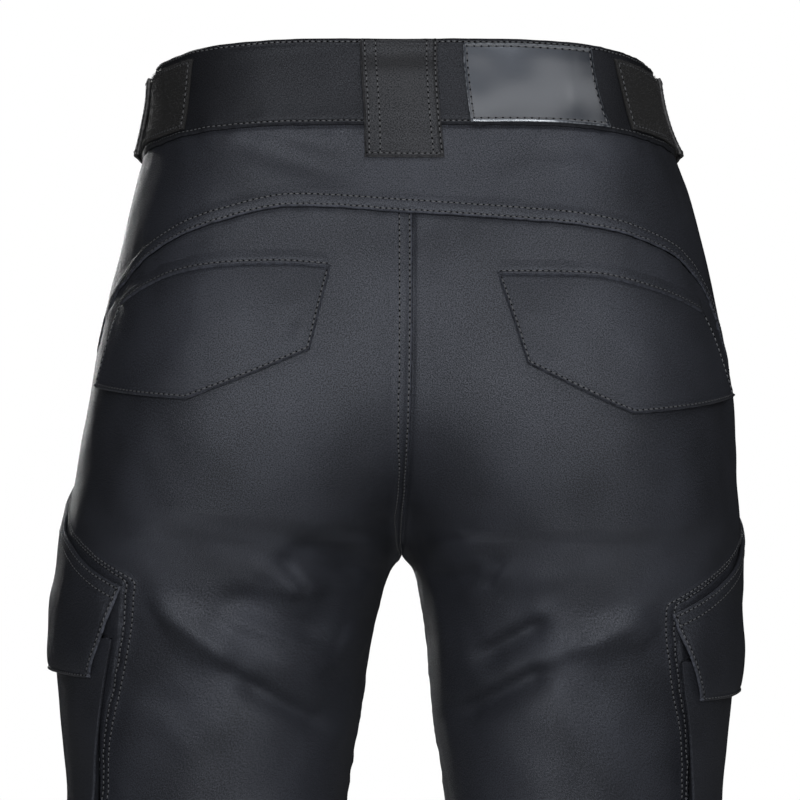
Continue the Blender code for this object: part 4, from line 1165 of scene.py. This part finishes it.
def fly():
    """The facing on the left front, with its curved foot. It covers the centre seam."""
    start, end, top, foot = FLY
    rows = spaced(foot - top, cell=0.003)
    bow = np.sqrt(1 - np.clip((rows - 0.55) / 0.45, 0, 0.985) ** 2)
    left = end - (end - start) * bow
    share = left[:, None] + (end - left)[:, None] * spaced(0.04, cell=0.003)[None, :]
    depth = np.broadcast_to((top + (foot - top) * rows)[:, None], share.shape)
    edges = {"top": "plain", "foot": "turned", "start": "turned", "end": "turned"}
    return overlay(
        "cloth_fly", "fly_facing", -share, depth, np.full(share.shape, SEAT_GAP + 0.0006), SHELL, edges, FLY_WALL
    )


fly()
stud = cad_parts["waist_snap"]
stud.data.materials.clear()
stud.data.materials.append(METAL)
print("closing done")


# %% The cargo pockets: a flap over a bellows pouch on each side panel
POCKET_DROP = {-1: 0.0, 1: 0.014}
CARGO_FLAP_REAR = (0.329, 0.366)
CARGO_FLAP_FRONT = (0.662, 0.640)
CARGO_FLAP_FOOT = 0.353
CARGO_FLAP_UNDER = (
    (0.262, 0.0006),
    (0.285, 0.0015),
    (0.300, 0.0030),
    (0.312, 0.0065),
    (0.330, 0.0105),
    (0.345, 0.0122),
    (0.360, 0.0112),
)
POUCH_TOP = 0.330
POUCH_FOOT = 0.525
POUCH_REAR = ((0.33, 0.342), (0.38, 0.364), (0.43, 0.381), (0.53, 0.388))
POUCH_FRONT = ((0.33, 0.648), (0.53, 0.660))
POUCH_UNDER = ((0.330, 0.0063), (0.345, 0.0072), (0.36, 0.0080), (0.43, 0.0100), (0.47, 0.0120), (0.53, 0.0120))
GUSSET_LEAN = 0.018
GUSSET_FOOT_LEAN = 0.006


def cargo_flap(side):
    drop = POCKET_DROP[side]
    peak, corner = PANEL_TOP[side]
    across = spaced(0.125, cell=0.0032)
    top_share = CARGO_FLAP_REAR[0] + (CARGO_FLAP_FRONT[0] - CARGO_FLAP_REAR[0]) * across
    foot_share = CARGO_FLAP_REAR[1] + (CARGO_FLAP_FRONT[1] - CARGO_FLAP_REAR[1]) * across
    rear_slope = (SIDE_SHARE - top_share) / (SIDE_SHARE - side_edges(side, corner)[0])
    front_slope = (top_share - SIDE_SHARE) / (side_edges(side, corner)[1] - SIDE_SHARE)
    top_depth = peak + (corner - peak) * np.maximum(rear_slope, front_slope) + 0.004
    foot_depth = np.full(across.shape, CARGO_FLAP_FOOT + drop)
    down = spaced(0.075, cell=0.0032)
    share = crossing(top_share, foot_share, down)
    depth = crossing(top_depth, foot_depth, down)
    hang = curve(CARGO_FLAP_UNDER, depth - drop)
    under = np.minimum(hang, SEAT_GAP + 0.42 * (depth - depth[0]))
    edges = {"top": "plain", "foot": "turned", "start": "turned", "end": "turned"}
    word = WORDS[side]
    return overlay(
        f"cloth_cargo_flap_{word}", f"cargo_flap_{word}", side * share, depth, under, SHELL, edges, 0.0022
    )


GUSSET_STEPS = np.array([1.0, 0.72, 0.45, 0.2])
POUCH_DENTS = {
    -1: ((-1, -0.197, -0.345, -0.193, -0.440, 0.0060, -0.0012, 0.2, 0.0),),
    1: ((-1, 0.182, -0.350, 0.190, -0.440, 0.0060, -0.0012, 0.2, 0.0),),
}


def cargo_pouch(side):
    """The outer face and, round its two sides and foot, the gusset that folds in under it."""
    face = spaced(0.115, cell=0.0035)
    rows = spaced(POUCH_FOOT - POUCH_TOP, cell=0.0045)
    flat = np.concatenate([0 * GUSSET_STEPS, face, 0 * GUSSET_STEPS + 1])
    inward = np.concatenate([GUSSET_STEPS, 0 * face, -GUSSET_STEPS[::-1]])
    upward = np.concatenate([0 * rows, GUSSET_STEPS[::-1]])[:, None]
    down = np.concatenate([rows, 0 * GUSSET_STEPS + 1])[:, None]
    depth = POUCH_TOP + (POUCH_FOOT - POUCH_TOP) * down - GUSSET_FOOT_LEAN * upward
    rear, front = curve(POUCH_REAR, depth), curve(POUCH_FRONT, depth)
    share = rear + (front - rear) * flat + GUSSET_LEAN * inward
    seat = SEAT_GAP + FACET_ROOM - WALL
    tuck = np.maximum(abs(inward), upward)
    under = seat + (curve(POUCH_UNDER, depth) - seat) * (1 - tuck)
    depth = np.broadcast_to(depth + POCKET_DROP[side], share.shape)
    word = WORDS[side]
    name, node = f"cloth_cargo_pouch_{word}", f"cargo_pouch_{word}"
    return overlay(name, node, side * share, depth, under, SHELL, {}, WALL, POUCH_DENTS[side])


for side in (-1, 1):
    cargo_flap(side)
    cargo_pouch(side)
print("cargo pockets done")

# %% [markdown]
# ## Topstitching
#
# The seams are topstitched in black thread, about three stitches to the centimetre. A bump pattern could
# draw them, but it would have no edge to catch the light. So each stitch is a small bead of its own, half
# sunk in the cloth, with few faces because there are thousands. The rows keep a set distance from the edges
# of the pieces, and follow them round folds and corners.

# %% One stitch, and a row of them
STITCH_PITCH = 0.0034
STITCH_SIZE = (0.0025, 0.0009, 0.0008)


def template(name, build, **sizes):
    """A small mesh that is copied many times, and its vertices as an array."""
    bm = bmesh.new()
    build(bm, **sizes)
    mesh = bpy.data.meshes.new(name)
    bm.to_mesh(mesh)
    bm.free()
    shape = np.zeros(len(mesh.vertices) * 3, np.float32)
    mesh.vertices.foreach_get("co", shape)
    return mesh, shape.reshape(-1, 3)


def place_copies(bm, mesh, shape, places, axes):
    """Adds one copy of the small mesh for each place. Its own x, y and z go along the three axes given."""
    for place, frame_axes in zip(places, axes):
        mesh.vertices.foreach_set("co", (shape @ frame_axes + place).astype(np.float32).ravel())
        bm.from_mesh(mesh, face_normals=False, vertex_normals=False)


def bead(bm, rings, finish):
    bmesh.ops.create_uvsphere(bm, u_segments=6, v_segments=rings, radius=0.5)
    bmesh.ops.rotate(bm, verts=bm.verts, cent=(0, 0, 0), matrix=Matrix.Rotation(math.pi / 2, 3, "Y"))
    for face in bm.faces:
        face.material_index = finish


STITCH = template("stitch", bead, rings=4, finish=0)
# A bead of painted shade where each needle hole is, between two stitches.
HOLE_SHADE_BEAD = template("painted_hole_shade", bead, rings=3, finish=1)
HOLE_SHADE_SIZE = (0.0013, 0.0012, 0.0006)


def beside(name, edge, distance):
    """The line on a piece of cloth that keeps this distance from one of its edges, and its normals."""
    grids = CLOTH_GRIDS[name]
    if edge in ("start", "end"):
        grids = [grid.transpose(1, 0, 2) for grid in grids]
    if edge in ("foot", "end"):
        grids = [grid[::-1] for grid in grids]
    along = run_length(grids[0])
    columns = range(along.shape[1])
    return [
        np.array([[np.interp(distance, along[:, c], grid[:, c, k]) for k in range(3)] for c in columns])
        for grid in grids
    ]


def sew(bm, line, margins=(0.002, 0.002), size=STITCH_SIZE, pitch=STITCH_PITCH):
    path, normals = line
    along = run_length(path)
    start, end = margins[0], along[-1] - margins[1]
    count = max(2, round((end - start) / pitch))
    # Each stitch, then a near-black bead of painted shade for the needle hole before it.
    for shape, size, shift in ((STITCH, size, 0.5), (HOLE_SHADE_BEAD, HOLE_SHADE_SIZE, 0.0)):
        at = start + (np.arange(count) + shift) * (end - start) / count
        place, up = (
            np.stack([np.interp(at, along, part[:, k]) for k in range(3)], axis=1) for part in (path, normals)
        )
        ahead = unit(np.gradient(place, axis=0))
        up = unit(up - (up * ahead).sum(axis=1)[:, None] * ahead)
        axes = np.stack([ahead * size[0], np.cross(up, ahead) * size[1], up * size[2]], axis=1)
        place_copies(bm, *shape, place, axes)
    return count


def finished(name, bm, material, *more):
    mesh = bpy.data.meshes.new(name)
    bm.to_mesh(mesh)
    bm.free()
    for finish in (material, *more):
        mesh.materials.append(finish)
    mesh.shade_smooth()
    piece = bpy.data.objects.new(name, mesh)
    COLLECTION.objects.link(piece)
    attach(piece, "root")
    return piece


def stitching(name, rows, **size):
    """rows lists the piece, its edge, the distance from the edge and the margins left at the ends."""
    bm = bmesh.new()
    count = sum(sew(bm, beside(*row[:3]), row[3] if len(row) > 3 else (0.002, 0.002), **size) for row in rows)
    finished(name, bm, THREAD, HOLE_SHADE)
    print(name, count, "stitches")


# %% Rows on the large seams
CROTCH_TO_HEM = HEM_DEPTH - CROTCH_DEPTH
HEM_STITCH = 0.024
BOTH_TWINS = (TWIN_NEAR, TWIN_FAR)
stitching("stitches_yoke", [("cloth_yoke", "foot", at) for at in BOTH_TWINS])
stitching("stitches_centre_back", [("cloth_back_leg_left", "start", at, (0.001, CROTCH_TO_HEM)) for at in BOTH_TWINS])
for side in (-1, 1):
    word = WORDS[side]
    back, front, panel_name = (f"cloth_{part}_{word}" for part in ("back_leg", "front_leg", "side_panel"))
    stitching(f"stitches_side_seams_{word}", [(back, "end", at) for at in BOTH_TWINS] + [(front, "start", at) for at in BOTH_TWINS])
    stitching(f"stitches_hem_{word}", [(name, "foot", HEM_STITCH, (0, 0)) for name in (back, panel_name, front)])
FLY_TO_HEM = HEM_DEPTH - 0.30
stitching("stitches_centre_front", [("cloth_front_leg_left", "end", at, (0.125, FLY_TO_HEM)) for at in BOTH_TWINS])

# %% Rows on the waistband and what is sewn to it
BAND_PIECES = ["cloth_waistband_back", "cloth_waistband_front_left", "cloth_waistband_front_right"]
stitching("stitches_waistband", [(name, edge, TURNED_STITCH) for name in BAND_PIECES for edge in ("top", "foot")])
LOOP_ROWS = [("start", 0.0036), ("start", 0.0100), ("end", 0.0020), ("end", 0.0072)]
stitching(
    "stitches_loop_back",
    [("cloth_belt_loop_back", edge, at) for edge, at in LOOP_ROWS] + [("cloth_belt_loop_back", "foot", 0.0030)],
)
for side in (-1, 1):
    word = WORDS[side]
    name = f"cloth_belt_loop_front_{word}"
    stitching(f"stitches_loop_front_{word}", [(name, edge, 0.003) for edge in ("start", "end", "foot")])
    around = ("top", "foot", "start", "end")
    stitching(f"stitches_tape_{word}", [(f"cloth_loop_tape_{word}", edge, 0.0022) for edge in around])
    stitching(f"stitches_strap_{word}", [(f"strap_{word}", edge, 0.0022) for edge in ("top", "foot", "start")])
stitching(
    "stitches_patch",
    [("leather_patch", edge, 0.0022, (0.0022, 0.0022)) for edge in ("top", "foot", "start", "end")],
    size=(0.0031, 0.0010, 0.0009), pitch=0.0042,
)
stitching("stitches_fly", [("cloth_fly", "start", at, (0.001, 0.004)) for at in (0.003, 0.009)])
stitching("stitches_waist_tab", [("cloth_waist_tab", edge, 0.003) for edge in ("top", "foot", "start", "end")])

# %% Rows on the pockets
for side in (-1, 1):
    word = WORDS[side]
    flap, lip_name, cargo = f"cloth_pocket_flap_{word}", f"pocket_lip_{word}", f"cloth_cargo_flap_{word}"
    rows = [(flap, edge, TURNED_STITCH, (0.003, 0.003)) for edge in ("foot", "start", "end")]
    stitching(f"stitches_pocket_{word}", rows + [(lip_name, "top", 0.0036, (0.003, 0.003))])
    rows = [(cargo, edge, TURNED_STITCH, (0.003, 0.003)) for edge in ("foot", "start", "end")]
    stitching(f"stitches_cargo_{word}", rows + [(cargo, "top", at) for at in BOTH_TWINS])

# %% The nap of the loop tape
FIBRES = 4200
FIBRE_LENGTH = (0.0009, 0.0020)
FIBRE_WIDTH = 0.00022
fibre_random = np.random.default_rng(11)


def spike(bm):
    bmesh.ops.create_cone(bm, segments=3, radius1=0.5, radius2=0, depth=1, cap_ends=False)
    bmesh.ops.translate(bm, vec=(0, 0, 0.5), verts=bm.verts)


FIBRE = template("fibre", spike)


def nap(name, tape):
    """Short fibres that lean all ways out of the tape."""
    points, normals = CLOTH_GRIDS[tape]
    rows, columns = points.shape[:2]
    r = fibre_random.integers(0, rows - 1, FIBRES)
    c = fibre_random.integers(0, columns - 1, FIBRES)
    a, b = fibre_random.random((2, FIBRES, 1))
    place = (points[r, c] * (1 - a) + points[r + 1, c] * a) * (1 - b)
    place += (points[r, c + 1] * (1 - a) + points[r + 1, c + 1] * a) * b
    lean = unit(normals[r, c] + 0.9 * fibre_random.normal(size=(FIBRES, 3)))
    lean = np.where((lean * normals[r, c]).sum(axis=1)[:, None] < 0, -lean, lean)
    across = unit(np.cross(lean, fibre_random.normal(size=(FIBRES, 3))))
    length = fibre_random.uniform(*FIBRE_LENGTH, (FIBRES, 1))
    axes = np.stack([across * FIBRE_WIDTH, np.cross(lean, across) * FIBRE_WIDTH, lean * length], axis=1)
    bm = bmesh.new()
    place_copies(bm, *FIBRE, place, axes)
    return finished(name, bm, NAP)


for side in (-1, 1):
    nap(f"nap_{WORDS[side]}", f"cloth_loop_tape_{WORDS[side]}")
print("nap done")

# %% [markdown]
# ## The stage, the light and the camera
#
# The light is one large soft source behind the viewer and above, which leaves the sides of black cloth to
# fall away into shade, as they do in a product picture. The ground and the sky are plain and pale.

# %% Floor and light
FLOOR_DROP = 0.002


def floor_paint():
    """Pale where it is seen, and darker where it would throw light up between the legs."""
    material, tree, seen_paint = plain_material("floor_paint", (0.40, 0.40, 0.40), 0.9)
    seen_paint.inputs["Emission Color"].default_value = (1, 1, 1, 1)
    seen_paint.inputs["Emission Strength"].default_value = 0.55
    unseen = add_node(tree, "ShaderNodeBsdfDiffuse", Color=(0.25, 0.25, 0.25, 1))
    path = tree.nodes.new("ShaderNodeLightPath")
    chosen = tree.nodes.new("ShaderNodeMixShader")
    wire(tree, path, "Is Camera Ray", chosen, 0)
    wire(tree, unseen, "BSDF", chosen, 1)
    wire(tree, seen_paint, "BSDF", chosen, 2)
    wire(tree, chosen, "Shader", tree.nodes["Material Output"], "Surface")
    return material


def make_floor():
    bm = bmesh.new()
    bmesh.ops.create_grid(bm, x_segments=1, y_segments=1, size=6.0)
    bmesh.ops.translate(bm, vec=(0, 0, solid_low.z - FLOOR_DROP), verts=bm.verts)
    mesh = bpy.data.meshes.new("floor")
    bm.to_mesh(mesh)
    bm.free()
    mesh.materials.append(floor_paint())
    floor = bpy.data.objects.new("floor", mesh)
    COLLECTION.objects.link(floor)


def add_softbox(name, place, aim, size, power):
    light = bpy.data.lights.new(name, "AREA")
    light.shape = "RECTANGLE"
    light.size, light.size_y = size
    light.energy = power
    lamp = bpy.data.objects.new(name, light)
    lamp.location = place
    lamp.rotation_euler = (Vector(aim) - Vector(place)).to_track_quat("-Z", "Y").to_euler()
    COLLECTION.objects.link(lamp)


def make_sky(strength, seen_strength):
    """A dim, even sky for the cloth, and a white one for the camera."""
    world = bpy.data.worlds.new("sky")
    world.use_nodes = True
    tree = world.node_tree
    sky = tree.nodes["Background"]
    sky.inputs["Color"].default_value = (1, 1, 1, 1)
    path = tree.nodes.new("ShaderNodeLightPath")
    level = tree.nodes.new("ShaderNodeMapRange")
    level.inputs["To Min"].default_value = strength
    level.inputs["To Max"].default_value = seen_strength
    wire(tree, path, "Is Camera Ray", level, "Value")
    wire(tree, level, "Result", sky, "Strength")
    bpy.context.scene.world = world


make_floor()
make_sky(0.015, 1.0)
add_softbox("key", (0.05, -2.75, -0.02), (0.0, 0.0, -0.22), (0.7, 0.65), 70.0)
add_softbox("strip", (0.2, -1.82, 1.35), (0.0, 0.0, -0.05), (2.2, 0.80), 14.0)
add_softbox("strip_right", (1.72, -1.20, 1.30), (0.0, 0.0, -0.05), (1.5, 0.80), 8.0)
add_softbox("front", (-0.5, 2.7, 0.5), (0.0, 0.0, -0.45), (1.4, 1.6), 75.0)

# %% The camera, as far back as a product picture is taken
CAMERA_PLACE = (-0.0042, -2.6, -0.194)
FRAME_WIDTH = 0.48
SENSOR = 36.0

camera_data = bpy.data.cameras.new("camera")
camera_data.sensor_width = SENSOR
camera_data.lens = SENSOR * -CAMERA_PLACE[1] / FRAME_WIDTH
camera = bpy.data.objects.new("camera", camera_data)
camera.location = CAMERA_PLACE
camera.rotation_euler = (math.pi / 2, 0, 0)
COLLECTION.objects.link(camera)
bpy.context.scene.camera = camera
bpy.context.scene.view_settings.view_transform = "Standard"
print("lens:", round(camera_data.lens, 1), "mm")
